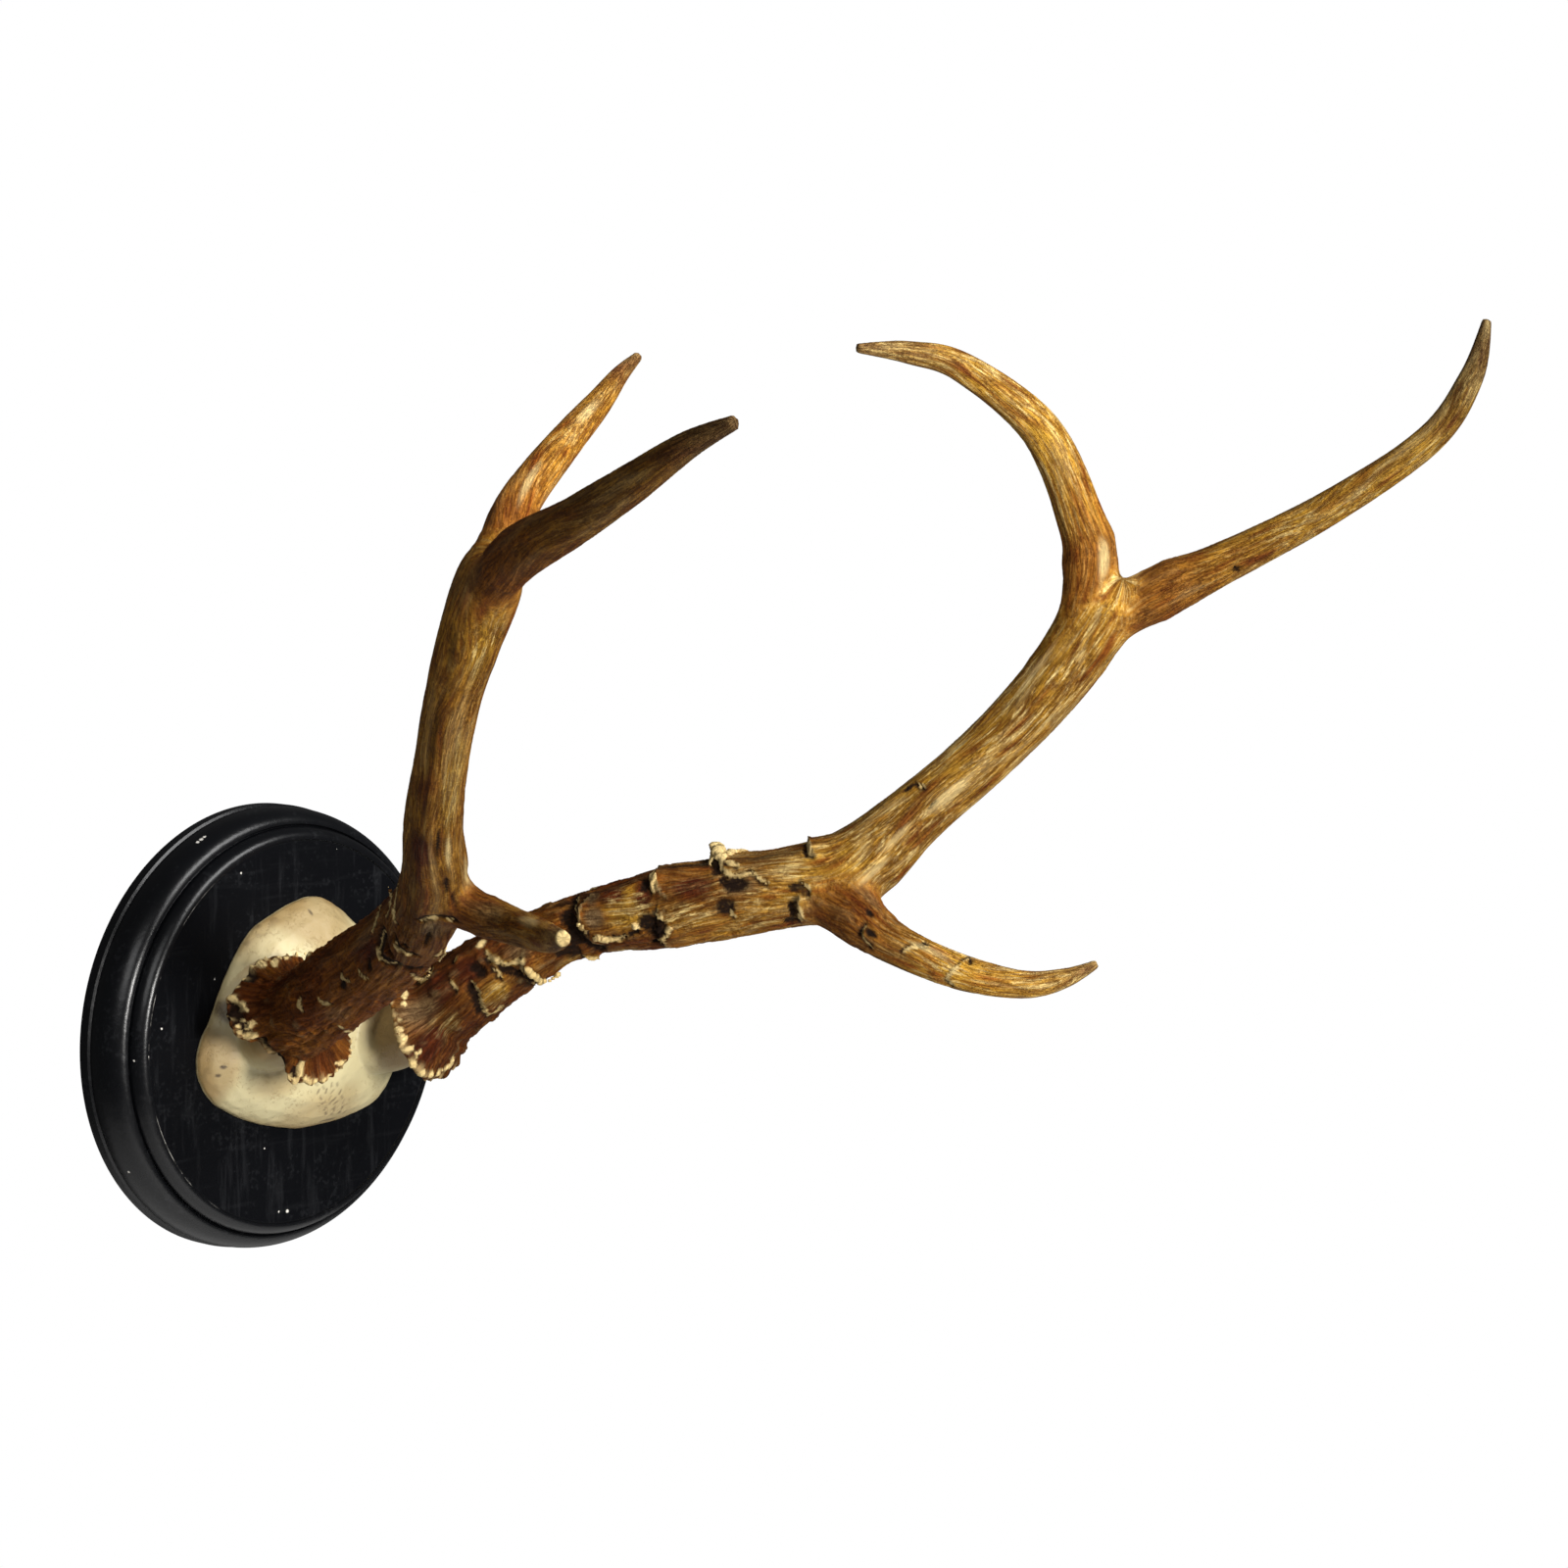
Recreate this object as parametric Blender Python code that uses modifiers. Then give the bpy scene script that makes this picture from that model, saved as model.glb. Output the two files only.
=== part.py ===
"""Antler mounting plaque.

A turned and ebonised wooden disc with a flat back hangs on a wall. It carries a bleached skull
plate, and a three-point antler stands on each of the plate's two bone pedicles.

The frame: the origin is the centre of the disc's flat back, +Y points into the wall, -Y points
out to the viewer, +X to the viewer's right and +Z up. All sizes are metres.
"""

import math
from dataclasses import dataclass

import bmesh
import bpy
from mathutils import Matrix, Vector

# The wooden disc, a turned profile
PLAQUE_RADIUS = 0.085
PLAQUE_STEPS = 56
BACK_EASE = 0.0010
RIM_WALL = 0.0052
ROLL_QUIRK = 0.0006
GROOVE_RADIUS = 0.0786
ROLL_CROWN = 0.0198
GROOVE_DROP = 0.0008
BEAD_SET_IN = 0.0009
FIELD_RADIUS = 0.0729
FIELD_HEIGHT = 0.0246
BEAD_PROUD = 0.0006
BEAD_SHARE = 0.85
ROLL_SHARE = 0.78

# The skull plate, a domed cap that sits turned on the disc
SKULL_LENGTH = 0.088
SKULL_TILT = math.radians(8.5)
SKULL_EDGE = 0.0045
SKULL_CROWN = 0.0190
SKULL_CENTRE_RISE = 0.0020
PEDICLE_RADIUS = 0.0125
PEDICLE_ROOT_SPREAD = 0.0220
PEDICLE_FLARE = 1.25
PEDICLE_NECK = 1.15
PEDICLE_TOP = 1.05
PEDICLE_BEND = 0.55
PEDICLE_HANDLE = 0.45
PEDICLE_SPARE = 0.0040
DOME_LEVELS = (
    (1.00, -0.30),
    (1.00, 0.12),
    (0.985, 0.20),
    (0.95, 0.34),
    (0.86, 0.56),
    (0.70, 0.78),
    (0.45, 0.94),
    (0.20, 0.99),
)

# The seat of each antler on its pedicle
SEAT_SPREAD = 0.0345
SEAT_RISE = 0.0065
SEAT_OUT = 0.0310
SEAT_SPLAY = math.radians(21.0)
SEAT_LIFT = math.radians(28.0)

# The antlers
ANTLER_REACH = 0.344
BURR_RADIUS = 0.0250
BURR_NECK = 0.0148
BURR_HEIGHT = 0.0100
BURR_LOBES = 17
BURR_LOBE_DEPTH = 0.0016
BURR_SECTIONS = (
    (-0.20, 0.00),
    (-0.19, 0.90),
    (0.12, 1.00),
    (0.30, 0.90),
    (0.52, 0.58),
    (0.85, 0.24),
    (1.30, 0.00),
)
FLUTE_COUNT = 6
FLUTE_TWIST = 5.0
LEDGE_FRONT_CURVE = 0.22
FACE_ASIDE = 0.78
FACE_OUT = 0.62
FACE_UP = 0.10

# Clearance between touching pieces, and the size below which points are merged
PART_GAP = 0.0003
MERGE_GAP = 0.00002

# Fineness of the free forms
RING_POINTS = 28
RINGS_A_SPAN = 7
OUTLINE_POINTS = 72
PEDICLE_RINGS = 19
TANGENT_STEP = 0.05
ANTLER_VOXEL = 0.0015
ANTLER_FACES = 3250
SKULL_VOXEL = 0.0014
SKULL_FACES = 1250

COLLECTION_NAME = "antler_mounting_plaque"


@dataclass(frozen=True)
class Station:
    """A cross-section of a branch: its centre and width as shares of the antler's reach."""

    out_x: float
    out_y: float
    up_z: float
    width: float


@dataclass(frozen=True)
class Ledge:
    """A raised scale that rises at a sharp front and sinks back along the branch.

    Start and length are shares of the branch, angle and spread are degrees round it, and the
    height is a share of the antler's reach.
    """

    start: float
    length: float
    angle: float
    spread: float
    height: float


@dataclass(frozen=True)
class Branch:
    """A beam or tine as a smooth tube through its stations, with its section's thickness share."""

    stations: tuple
    thin: float
    flutes: float
    ledges: tuple = ()


RIGHT_BEAM = Branch(
    stations=(
        Station(0.000, 0.000, 0.000, 0.092),
        Station(0.022, -0.068, 0.058, 0.086),
        Station(0.063, -0.156, 0.117, 0.067),
        Station(0.112, -0.264, 0.148, 0.087),
        Station(0.162, -0.357, 0.169, 0.088),
        Station(0.211, -0.428, 0.192, 0.091),
        Station(0.263, -0.481, 0.255, 0.070),
        Station(0.314, -0.541, 0.326, 0.068),
        Station(0.348, -0.594, 0.397, 0.072),
        Station(0.364, -0.640, 0.469, 0.080),
        Station(0.367, -0.659, 0.499, 0.064),
    ),
    thin=0.84,
    flutes=0.030,
    ledges=(
        Ledge(0.148, 0.070, 140.0, 50.0, 0.0070),
        Ledge(0.223, 0.068, 88.0, 52.0, 0.0085),
        Ledge(0.296, 0.050, 35.0, 42.0, 0.0064),
        Ledge(0.291, 0.055, 128.0, 40.0, 0.0058),
        Ledge(0.350, 0.070, 10.0, 40.0, 0.0087),
        Ledge(0.438, 0.050, 120.0, 28.0, 0.0046),
        Ledge(0.463, 0.050, 20.0, 35.0, 0.0060),
    ),
)
RIGHT_OUTER = Branch(
    stations=(
        Station(0.347, -0.614, 0.437, 0.044),
        Station(0.390, -0.687, 0.493, 0.061),
        Station(0.421, -0.750, 0.527, 0.046),
        Station(0.464, -0.855, 0.589, 0.037),
        Station(0.497, -0.953, 0.662, 0.032),
        Station(0.503, -0.996, 0.726, 0.026),
        Station(0.499, -1.014, 0.785, 0.010),
    ),
    thin=0.86,
    flutes=0.030,
)
RIGHT_INNER = Branch(
    stations=(
        Station(0.350, -0.622, 0.450, 0.044),
        Station(0.349, -0.641, 0.524, 0.062),
        Station(0.331, -0.638, 0.575, 0.050),
        Station(0.272, -0.625, 0.667, 0.043),
        Station(0.179, -0.592, 0.728, 0.032),
        Station(0.122, -0.565, 0.742, 0.024),
        Station(0.066, -0.541, 0.745, 0.010),
    ),
    thin=0.88,
    flutes=0.030,
)
RIGHT_LOW = Branch(
    stations=(
        Station(0.180, -0.397, 0.174, 0.052),
        Station(0.190, -0.450, 0.155, 0.066),
        Station(0.191, -0.505, 0.127, 0.045),
        Station(0.217, -0.576, 0.100, 0.039),
        Station(0.251, -0.633, 0.089, 0.031),
        Station(0.277, -0.667, 0.096, 0.022),
        Station(0.300, -0.693, 0.112, 0.009),
    ),
    thin=0.88,
    flutes=0.030,
)

LEFT_BEAM = Branch(
    stations=(
        Station(0.000, 0.000, 0.000, 0.094),
        Station(-0.030, -0.082, 0.036, 0.094),
        Station(-0.065, -0.166, 0.075, 0.090),
        Station(-0.115, -0.272, 0.121, 0.084),
        Station(-0.171, -0.371, 0.173, 0.079),
        Station(-0.221, -0.431, 0.222, 0.072),
        Station(-0.267, -0.474, 0.272, 0.064),
        Station(-0.317, -0.534, 0.343, 0.058),
        Station(-0.352, -0.587, 0.418, 0.062),
        Station(-0.370, -0.638, 0.495, 0.074),
        Station(-0.373, -0.654, 0.521, 0.056),
    ),
    thin=0.84,
    flutes=0.035,
)
LEFT_OUTER = Branch(
    stations=(
        Station(-0.354, -0.614, 0.462, 0.040),
        Station(-0.401, -0.690, 0.517, 0.048),
        Station(-0.447, -0.803, 0.554, 0.039),
        Station(-0.485, -0.905, 0.590, 0.031),
        Station(-0.502, -0.971, 0.618, 0.022),
        Station(-0.506, -1.019, 0.635, 0.012),
    ),
    thin=0.90,
    flutes=0.030,
)
LEFT_INNER = Branch(
    stations=(
        Station(-0.363, -0.619, 0.466, 0.040),
        Station(-0.355, -0.637, 0.521, 0.053),
        Station(-0.324, -0.632, 0.567, 0.042),
        Station(-0.254, -0.617, 0.615, 0.034),
        Station(-0.183, -0.593, 0.651, 0.027),
        Station(-0.120, -0.564, 0.679, 0.018),
        Station(-0.077, -0.548, 0.697, 0.010),
    ),
    thin=0.90,
    flutes=0.030,
)
LEFT_LOW = Branch(
    stations=(
        Station(-0.180, -0.402, 0.190, 0.044),
        Station(-0.193, -0.447, 0.184, 0.047),
        Station(-0.195, -0.497, 0.175, 0.037),
        Station(-0.221, -0.560, 0.174, 0.032),
        Station(-0.254, -0.610, 0.178, 0.025),
        Station(-0.286, -0.652, 0.186, 0.015),
    ),
    thin=0.90,
    flutes=0.030,
)

# Half of the skull plate's outline, from the peak round to the chin, as shares of its length
SKULL_OUTLINE = (
    (0.000, 0.590),
    (0.110, 0.558),
    (0.235, 0.492),
    (0.345, 0.412),
    (0.425, 0.285),
    (0.475, 0.160),
    (0.500, 0.072),
    (0.518, 0.020),
    (0.556, -0.060),
    (0.560, -0.150),
    (0.522, -0.240),
    (0.440, -0.315),
    (0.310, -0.365),
    (0.160, -0.398),
    (0.000, -0.415),
)

# Each burr's rim, by the angle round its seat and the radius there as a share of BURR_RADIUS
LEFT_BURR_RIM = (
    (-180, 1.06),
    (-165, 1.06),
    (-135, 1.00),
    (-92, 0.91),
    (-66, 1.02),
    (-52, 0.96),
    (-41, 0.86),
    (-22, 0.62),
    (5, 0.62),
    (20, 0.97),
    (60, 1.03),
    (88, 1.04),
    (102, 0.96),
    (116, 0.82),
    (135, 0.82),
    (160, 0.94),
    (180, 1.06),
)
RIGHT_BURR_RIM = (
    (-180, 0.84),
    (-93, 0.83),
    (-60, 0.95),
    (-37, 1.12),
    (-8, 1.12),
    (36, 0.86),
    (63, 0.84),
    (103, 1.06),
    (120, 1.12),
    (135, 1.08),
    (155, 0.92),
    (180, 0.84),
)


def clear_scene():
    """Remove every object of the open scene."""
    for thing in list(bpy.data.objects):
        bpy.data.objects.remove(thing, do_unlink=True)


def make_material(name, colour, roughness):
    """Give a Principled material of one colour and roughness."""
    material = bpy.data.materials.new(name)
    material.use_nodes = True
    shader = material.node_tree.nodes["Principled BSDF"]
    shader.inputs["Base Color"].default_value = (*colour, 1.0)
    shader.inputs["Roughness"].default_value = roughness
    material.diffuse_color = (*colour, 1.0)
    return material


def new_object(name, mesh, collection, material):
    """Link a mesh to the collection as a named object with its material."""
    thing = bpy.data.objects.new(name, mesh)
    collection.objects.link(thing)
    mesh.materials.clear()
    mesh.materials.append(material)
    return thing


def shade_round(mesh, angle):
    """Shade a mesh smooth except over edges sharper than the angle in degrees."""
    mesh.shade_smooth()
    mesh.set_sharp_from_angle(angle=math.radians(angle))


def arc_points(centre_r, centre_h, half_r, half_h, start, end, count):
    """Give points along an ellipse's arc, as radius and height, by angles in degrees."""
    points = []
    for index in range(count + 1):
        turn = math.radians(start + (end - start) * index / count)
        points.append((centre_r + half_r * math.cos(turn), centre_h + half_h * math.sin(turn)))
    return points


def plaque_profile():
    """Give the disc's profile as radius and height, from the middle of the front to the back."""
    bead_foot = GROOVE_RADIUS - BEAD_SET_IN
    bead_crown = FIELD_HEIGHT + BEAD_PROUD
    groove_floor = ROLL_CROWN - GROOVE_DROP
    bead_width = (bead_foot - FIELD_RADIUS) * BEAD_SHARE
    bead_height = bead_crown - groove_floor
    bead = arc_points(bead_foot - bead_width, groove_floor, bead_width, bead_height, 90.0, 0.0, 4)
    roll_foot = RIM_WALL + ROLL_QUIRK
    roll_half = (ROLL_CROWN - roll_foot) * ROLL_SHARE
    roll_centre = ROLL_CROWN - roll_half
    roll_start = -math.degrees(math.asin(min(1.0, (roll_centre - roll_foot) / roll_half)))
    roll_width = PLAQUE_RADIUS - ROLL_QUIRK - GROOVE_RADIUS
    roll = arc_points(GROOVE_RADIUS, roll_centre, roll_width, roll_half, 90.0, roll_start, 6)
    profile = [(0.0, FIELD_HEIGHT), (FIELD_RADIUS, FIELD_HEIGHT)]
    profile += [(FIELD_RADIUS + BEAD_PROUD / 2, bead_crown)]
    profile += bead
    profile += [((bead_foot + GROOVE_RADIUS) / 2, groove_floor - GROOVE_DROP / 2)]
    profile += roll
    profile += [(PLAQUE_RADIUS, RIM_WALL), (PLAQUE_RADIUS, BACK_EASE)]
    profile += [(PLAQUE_RADIUS - BACK_EASE, 0.0), (0.0, 0.0)]
    return profile


def make_plaque(collection, material):
    """Turn the wooden disc from its profile with its back on the wall plane."""
    mesh = bpy.data.meshes.new("plaque")
    profile = [Vector((radius, 0.0, height)) for radius, height in plaque_profile()]
    mesh.from_pydata(profile, [(index, index + 1) for index in range(len(profile) - 1)], [])
    plaque = new_object("plaque", mesh, collection, material)
    plaque.rotation_euler = (math.radians(90.0), 0.0, 0.0)
    turning = plaque.modifiers.new("turning", "SCREW")
    turning.angle = math.tau
    turning.steps = PLAQUE_STEPS
    turning.render_steps = PLAQUE_STEPS
    turning.axis = "Z"
    turning.use_merge_vertices = True
    turning.merge_threshold = MERGE_GAP
    turning.use_smooth_shade = True
    turning.use_normal_calculate = False
    return plaque


def spline_point(values, place):
    """Read a smooth curve through values at a place from 0 to their count less one."""
    last = len(values) - 1
    index = min(int(place), last - 1)
    share = place - index
    before = values[max(index - 1, 0)]
    here = values[index]
    there = values[index + 1]
    after = values[min(index + 2, last)]
    leaving = (there - before) * 0.5
    arriving = (after - here) * 0.5
    square = share * share
    cube = square * share
    return (
        here * (2 * cube - 3 * square + 1)
        + leaving * (cube - 2 * square + share)
        + there * (3 * square - 2 * cube)
        + arriving * (cube - square)
    )


def tilted(point):
    """Turn a point with the skull plate about the disc's axis."""
    return Matrix.Rotation(SKULL_TILT, 3, "Y") @ point


def seat_centre(side):
    """Give the middle of an antler's seat, with side -1 for left and 1 for right."""
    return tilted(Vector((side * SEAT_SPREAD, -(FIELD_HEIGHT + SEAT_OUT), SEAT_RISE)))


def seat_axis(side):
    """Give the direction in which an antler leaves its pedicle."""
    level = math.cos(SEAT_LIFT)
    aside = side * math.sin(SEAT_SPLAY) * level
    out = math.cos(SEAT_SPLAY) * level
    return tilted(Vector((aside, -out, math.sin(SEAT_LIFT))))


def curve_tangent(points, place):
    """Give the direction of the curve through some points at a place."""
    ahead = spline_point(points, min(place + TANGENT_STEP, len(points) - 1))
    behind = spline_point(points, max(place - TANGENT_STEP, 0.0))
    return (ahead - behind).normalized()


def ledge_height(ledge, along, angle):
    """Give how far a ledge stands out at a share of the branch and an angle in degrees."""
    share = (along - ledge.start) / ledge.length
    turn = abs((angle - ledge.angle + 180.0) % 360.0 - 180.0) / ledge.spread
    front = LEDGE_FRONT_CURVE * turn * turn
    if share < front or share > 1.0 or turn > 1.0:
        return 0.0
    return ANTLER_REACH * ledge.height * (1.0 - share) * math.sqrt(math.cos(turn * math.pi / 2))


def loft(rings, tip_start, tip_end):
    """Close a row of rings, each a list of points, into one solid mesh with a point at each end."""
    shape = bmesh.new()
    rows = [[shape.verts.new(point) for point in ring] for ring in rings]
    count = len(rows[0])
    for row, following in zip(rows, rows[1:]):
        for index in range(count):
            after = (index + 1) % count
            shape.faces.new((row[index], row[after], following[after], following[index]))
    for row, tip in ((rows[0], tip_start), (rows[-1], tip_end)):
        apex = shape.verts.new(tip)
        for index in range(count):
            shape.faces.new((row[index], row[(index + 1) % count], apex))
    bmesh.ops.recalc_face_normals(shape, faces=shape.faces)
    mesh = bpy.data.meshes.new("loft")
    shape.to_mesh(mesh)
    shape.free()
    return mesh


def branch_mesh(branch, side):
    """Loft a beam or tine through its stations, flattened, fluted and with its ledges."""
    root = seat_centre(side)
    points = [root + Vector((s.out_x, s.out_y, s.up_z)) * ANTLER_REACH for s in branch.stations]
    widths = [s.width * ANTLER_REACH / 2 for s in branch.stations]
    face = Vector((-FACE_ASIDE * side, -FACE_OUT, FACE_UP)).normalized()
    steps = (len(points) - 1) * RINGS_A_SPAN
    rings = []
    for step in range(steps + 1):
        along = step / steps
        place = along * (len(points) - 1)
        centre = spline_point(points, place)
        tangent = curve_tangent(points, place)
        thin = (face - tangent * face.dot(tangent)).normalized()
        wide = thin.cross(tangent) * side
        radius = spline_point(widths, place)
        ring = []
        for index in range(RING_POINTS):
            turn = math.tau * index / RING_POINTS
            swell = 1.0 + branch.flutes * math.cos(FLUTE_COUNT * turn + FLUTE_TWIST * along)
            reach = wide * math.cos(turn) * radius
            reach += thin * math.sin(turn) * radius * branch.thin
            proud = sum(ledge_height(ledge, along, math.degrees(turn)) for ledge in branch.ledges)
            ring.append(centre + reach * swell + reach.normalized() * proud)
        rings.append(ring)
    return loft(rings, points[0], points[-1])


def rim_reach(side, turn):
    """Give the burr's radius at a turn round its seat, as a share of BURR_RADIUS."""
    rim = LEFT_BURR_RIM if side < 0 else RIGHT_BURR_RIM
    angle = (math.degrees(turn) + 180.0) % 360.0 - 180.0
    for (start, low), (end, high) in zip(rim, rim[1:]):
        if angle <= end:
            break
    ease = (angle - start) / (end - start)
    return low + (high - low) * ease * ease * (3.0 - 2.0 * ease)


def burr_mesh(side):
    """Loft the flared and knobbly coronet round the foot of an antler."""
    root = seat_centre(side)
    axis = seat_axis(side)
    across = axis.orthogonal().normalized()
    beside = axis.cross(across)
    rings = []
    for height, share in BURR_SECTIONS:
        middle = root + axis * (height * BURR_HEIGHT)
        ring = []
        for index in range(RING_POINTS * 3):
            turn = math.tau * index / (RING_POINTS * 3)
            knob = BURR_LOBE_DEPTH * (abs(math.cos(turn * BURR_LOBES / 2)) - 0.5)
            rim = BURR_RADIUS * rim_reach(side, turn) + knob
            radius = BURR_NECK + (rim - BURR_NECK) * share
            outward = across * math.cos(turn) + beside * math.sin(turn)
            ring.append(middle + outward * radius)
        rings.append(ring)
    low = root + axis * (BURR_SECTIONS[0][0] * BURR_HEIGHT)
    high = root + axis * (BURR_SECTIONS[-1][0] * BURR_HEIGHT)
    return loft(rings, low, high)


def fuse(meshes, voxel, faces):
    """Fuse closed meshes into one skin with soft crotches, thinned to about the given triangles."""
    joined = bmesh.new()
    for mesh in meshes:
        joined.from_mesh(mesh)
        bpy.data.meshes.remove(mesh)
    together = bpy.data.meshes.new("fused")
    joined.to_mesh(together)
    joined.free()
    holder = bpy.data.objects.new("fused", together)
    bpy.context.scene.collection.objects.link(holder)
    remesh = holder.modifiers.new("skin", "REMESH")
    remesh.mode = "VOXEL"
    remesh.voxel_size = voxel
    remesh.adaptivity = 0.0
    soften = holder.modifiers.new("soften", "SMOOTH")
    soften.factor = 0.5
    soften.iterations = 2
    graph = bpy.context.evaluated_depsgraph_get()
    count = sum(len(face.vertices) - 2 for face in holder.evaluated_get(graph).data.polygons)
    thinning = holder.modifiers.new("thinning", "DECIMATE")
    thinning.ratio = min(1.0, faces / count)
    graph = bpy.context.evaluated_depsgraph_get()
    skin = bpy.data.meshes.new_from_object(holder.evaluated_get(graph))
    bpy.data.objects.remove(holder, do_unlink=True)
    bpy.data.meshes.remove(together)
    return skin


def cut_flat(mesh, point, outward):
    """Cut away what lies beyond a plane and close the cut with a flat face."""
    shape = bmesh.new()
    shape.from_mesh(mesh)
    parts = shape.verts[:] + shape.edges[:] + shape.faces[:]
    cut = bmesh.ops.bisect_plane(
        shape, geom=parts, dist=MERGE_GAP / 2, plane_co=point, plane_no=outward, clear_outer=True
    )
    rim = [part for part in cut["geom_cut"] if isinstance(part, bmesh.types.BMEdge)]
    bmesh.ops.edgeloop_fill(shape, edges=rim)
    bmesh.ops.dissolve_degenerate(shape, dist=MERGE_GAP, edges=shape.edges)
    bmesh.ops.triangulate(shape, faces=shape.faces)
    bmesh.ops.recalc_face_normals(shape, faces=shape.faces)
    shape.to_mesh(mesh)
    shape.free()


def make_antler(name, side, branches, collection, material):
    """Fuse an antler's branches and burr, and cut its foot flat on the pedicle's seat."""
    meshes = [branch_mesh(branch, side) for branch in branches]
    meshes.append(burr_mesh(side))
    mesh = fuse(meshes, ANTLER_VOXEL, ANTLER_FACES)
    axis = seat_axis(side)
    cut_flat(mesh, seat_centre(side) + axis * (PART_GAP / 2), -axis)
    antler = new_object(name, mesh, collection, material)
    shade_round(mesh, 50.0)
    return antler


def skull_outline_point(turn):
    """Give the skull plate's outline at a turn from 0 at the peak to 1 back there, in metres."""
    half = [Vector((x, z)) for x, z in SKULL_OUTLINE]
    closed = half + [Vector((-point.x, point.y)) for point in reversed(half[1:-1])]
    looped = closed[-1:] + closed + closed[:2]
    place = 1.0 + turn * len(closed)
    return spline_point(looped, place) * SKULL_LENGTH


def dome_mesh():
    """Loft the domed cap of the skull plate from its outline up to its crown."""
    base = -(FIELD_HEIGHT + PART_GAP)
    centre = Vector((0.0, SKULL_CENTRE_RISE))
    rings = []
    for spread, height in DOME_LEVELS:
        ring = []
        for index in range(OUTLINE_POINTS):
            flat = centre + (skull_outline_point(index / OUTLINE_POINTS) - centre) * spread
            ring.append(tilted(Vector((flat.x, base - height * SKULL_CROWN, flat.y))))
        rings.append(ring)
    below = tilted(Vector((centre.x, base - DOME_LEVELS[0][1] * SKULL_CROWN, centre.y)))
    above = tilted(Vector((centre.x, base - SKULL_CROWN, centre.y)))
    return loft(rings, below, above)


def pedicle_mesh(side):
    """Loft one bone pedicle from inside the cap to just past its antler's seat."""
    top = seat_centre(side)
    axis = seat_axis(side)
    foot = tilted(Vector((side * PEDICLE_ROOT_SPREAD, -(FIELD_HEIGHT + SKULL_EDGE), 0.0)))
    handle = top - axis * ((top - foot).length * PEDICLE_HANDLE)
    ends = [foot, foot.lerp(handle, PEDICLE_BEND), handle, top + axis * PEDICLE_SPARE]
    widths = [PEDICLE_RADIUS * share for share in (PEDICLE_FLARE, PEDICLE_NECK, 1.0, PEDICLE_TOP)]
    rings = []
    for step in range(PEDICLE_RINGS):
        place = (len(ends) - 1) * step / (PEDICLE_RINGS - 1)
        centre = spline_point(ends, place)
        tangent = curve_tangent(ends, place)
        across = tangent.cross(Vector((0.0, 0.0, 1.0))).normalized()
        beside = tangent.cross(across)
        radius = spline_point(widths, place)
        ring = []
        for index in range(RING_POINTS):
            turn = math.tau * index / RING_POINTS
            ring.append(centre + (across * math.cos(turn) + beside * math.sin(turn)) * radius)
        rings.append(ring)
    return loft(rings, foot, ends[-1])


def make_skull_plate(collection, material):
    """Fuse the cap and both pedicles, and cut the back and both seats flat."""
    meshes = [dome_mesh(), pedicle_mesh(-1), pedicle_mesh(1)]
    mesh = fuse(meshes, SKULL_VOXEL, SKULL_FACES)
    cut_flat(mesh, Vector((0.0, -(FIELD_HEIGHT + PART_GAP), 0.0)), Vector((0.0, 1.0, 0.0)))
    for side in (-1, 1):
        axis = seat_axis(side)
        cut_flat(mesh, seat_centre(side) - axis * (PART_GAP / 2), axis)
    plate = new_object("skull_plate", mesh, collection, material)
    shade_round(mesh, 50.0)
    return plate


def main():
    """Build the disc, the skull plate and both antlers."""
    clear_scene()
    collection = bpy.data.collections.new(COLLECTION_NAME)
    bpy.context.scene.collection.children.link(collection)
    black_lacquer = make_material("black_lacquer", (0.012, 0.013, 0.016), 0.35)
    bone = make_material("bleached_bone", (0.78, 0.70, 0.52), 0.55)
    antler = make_material("antler", (0.32, 0.18, 0.07), 0.50)
    make_plaque(collection, black_lacquer)
    make_skull_plate(collection, bone)
    make_antler("left_antler", -1, (LEFT_BEAM, LEFT_OUTER, LEFT_INNER, LEFT_LOW), collection, antler)
    make_antler("right_antler", 1, (RIGHT_BEAM, RIGHT_OUTER, RIGHT_INNER, RIGHT_LOW), collection, antler)


main()
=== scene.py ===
"""Antler mounting plaque: the finished look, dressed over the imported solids.

A turned and ebonised disc carries a bleached skull plate, and a pearled three-point antler stands
on each of its two pedicles. The origin is the centre of the disc's flat back, +Y goes into the
wall, -Y out to the viewer, +X to the viewer's right and +Z up. All sizes are metres.
"""

import logging
import math
from dataclasses import dataclass, field, replace
from enum import Enum

import bmesh
import bpy
import numpy as np
from mathutils import Matrix, Vector
from mathutils.bvhtree import BVHTree
from mathutils.kdtree import KDTree


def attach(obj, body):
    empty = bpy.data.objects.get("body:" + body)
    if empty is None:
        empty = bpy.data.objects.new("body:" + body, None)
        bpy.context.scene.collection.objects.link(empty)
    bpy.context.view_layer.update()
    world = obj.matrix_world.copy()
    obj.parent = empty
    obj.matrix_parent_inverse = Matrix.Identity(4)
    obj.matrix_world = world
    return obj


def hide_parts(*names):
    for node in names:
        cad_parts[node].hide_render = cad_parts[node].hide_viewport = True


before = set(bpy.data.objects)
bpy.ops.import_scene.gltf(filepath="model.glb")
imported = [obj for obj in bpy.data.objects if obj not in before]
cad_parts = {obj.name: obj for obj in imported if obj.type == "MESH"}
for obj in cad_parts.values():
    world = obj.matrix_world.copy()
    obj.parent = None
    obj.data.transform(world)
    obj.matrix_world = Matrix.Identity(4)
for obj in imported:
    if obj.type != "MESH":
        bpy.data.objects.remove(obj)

log = logging.getLogger("antler_plaque")

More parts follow.
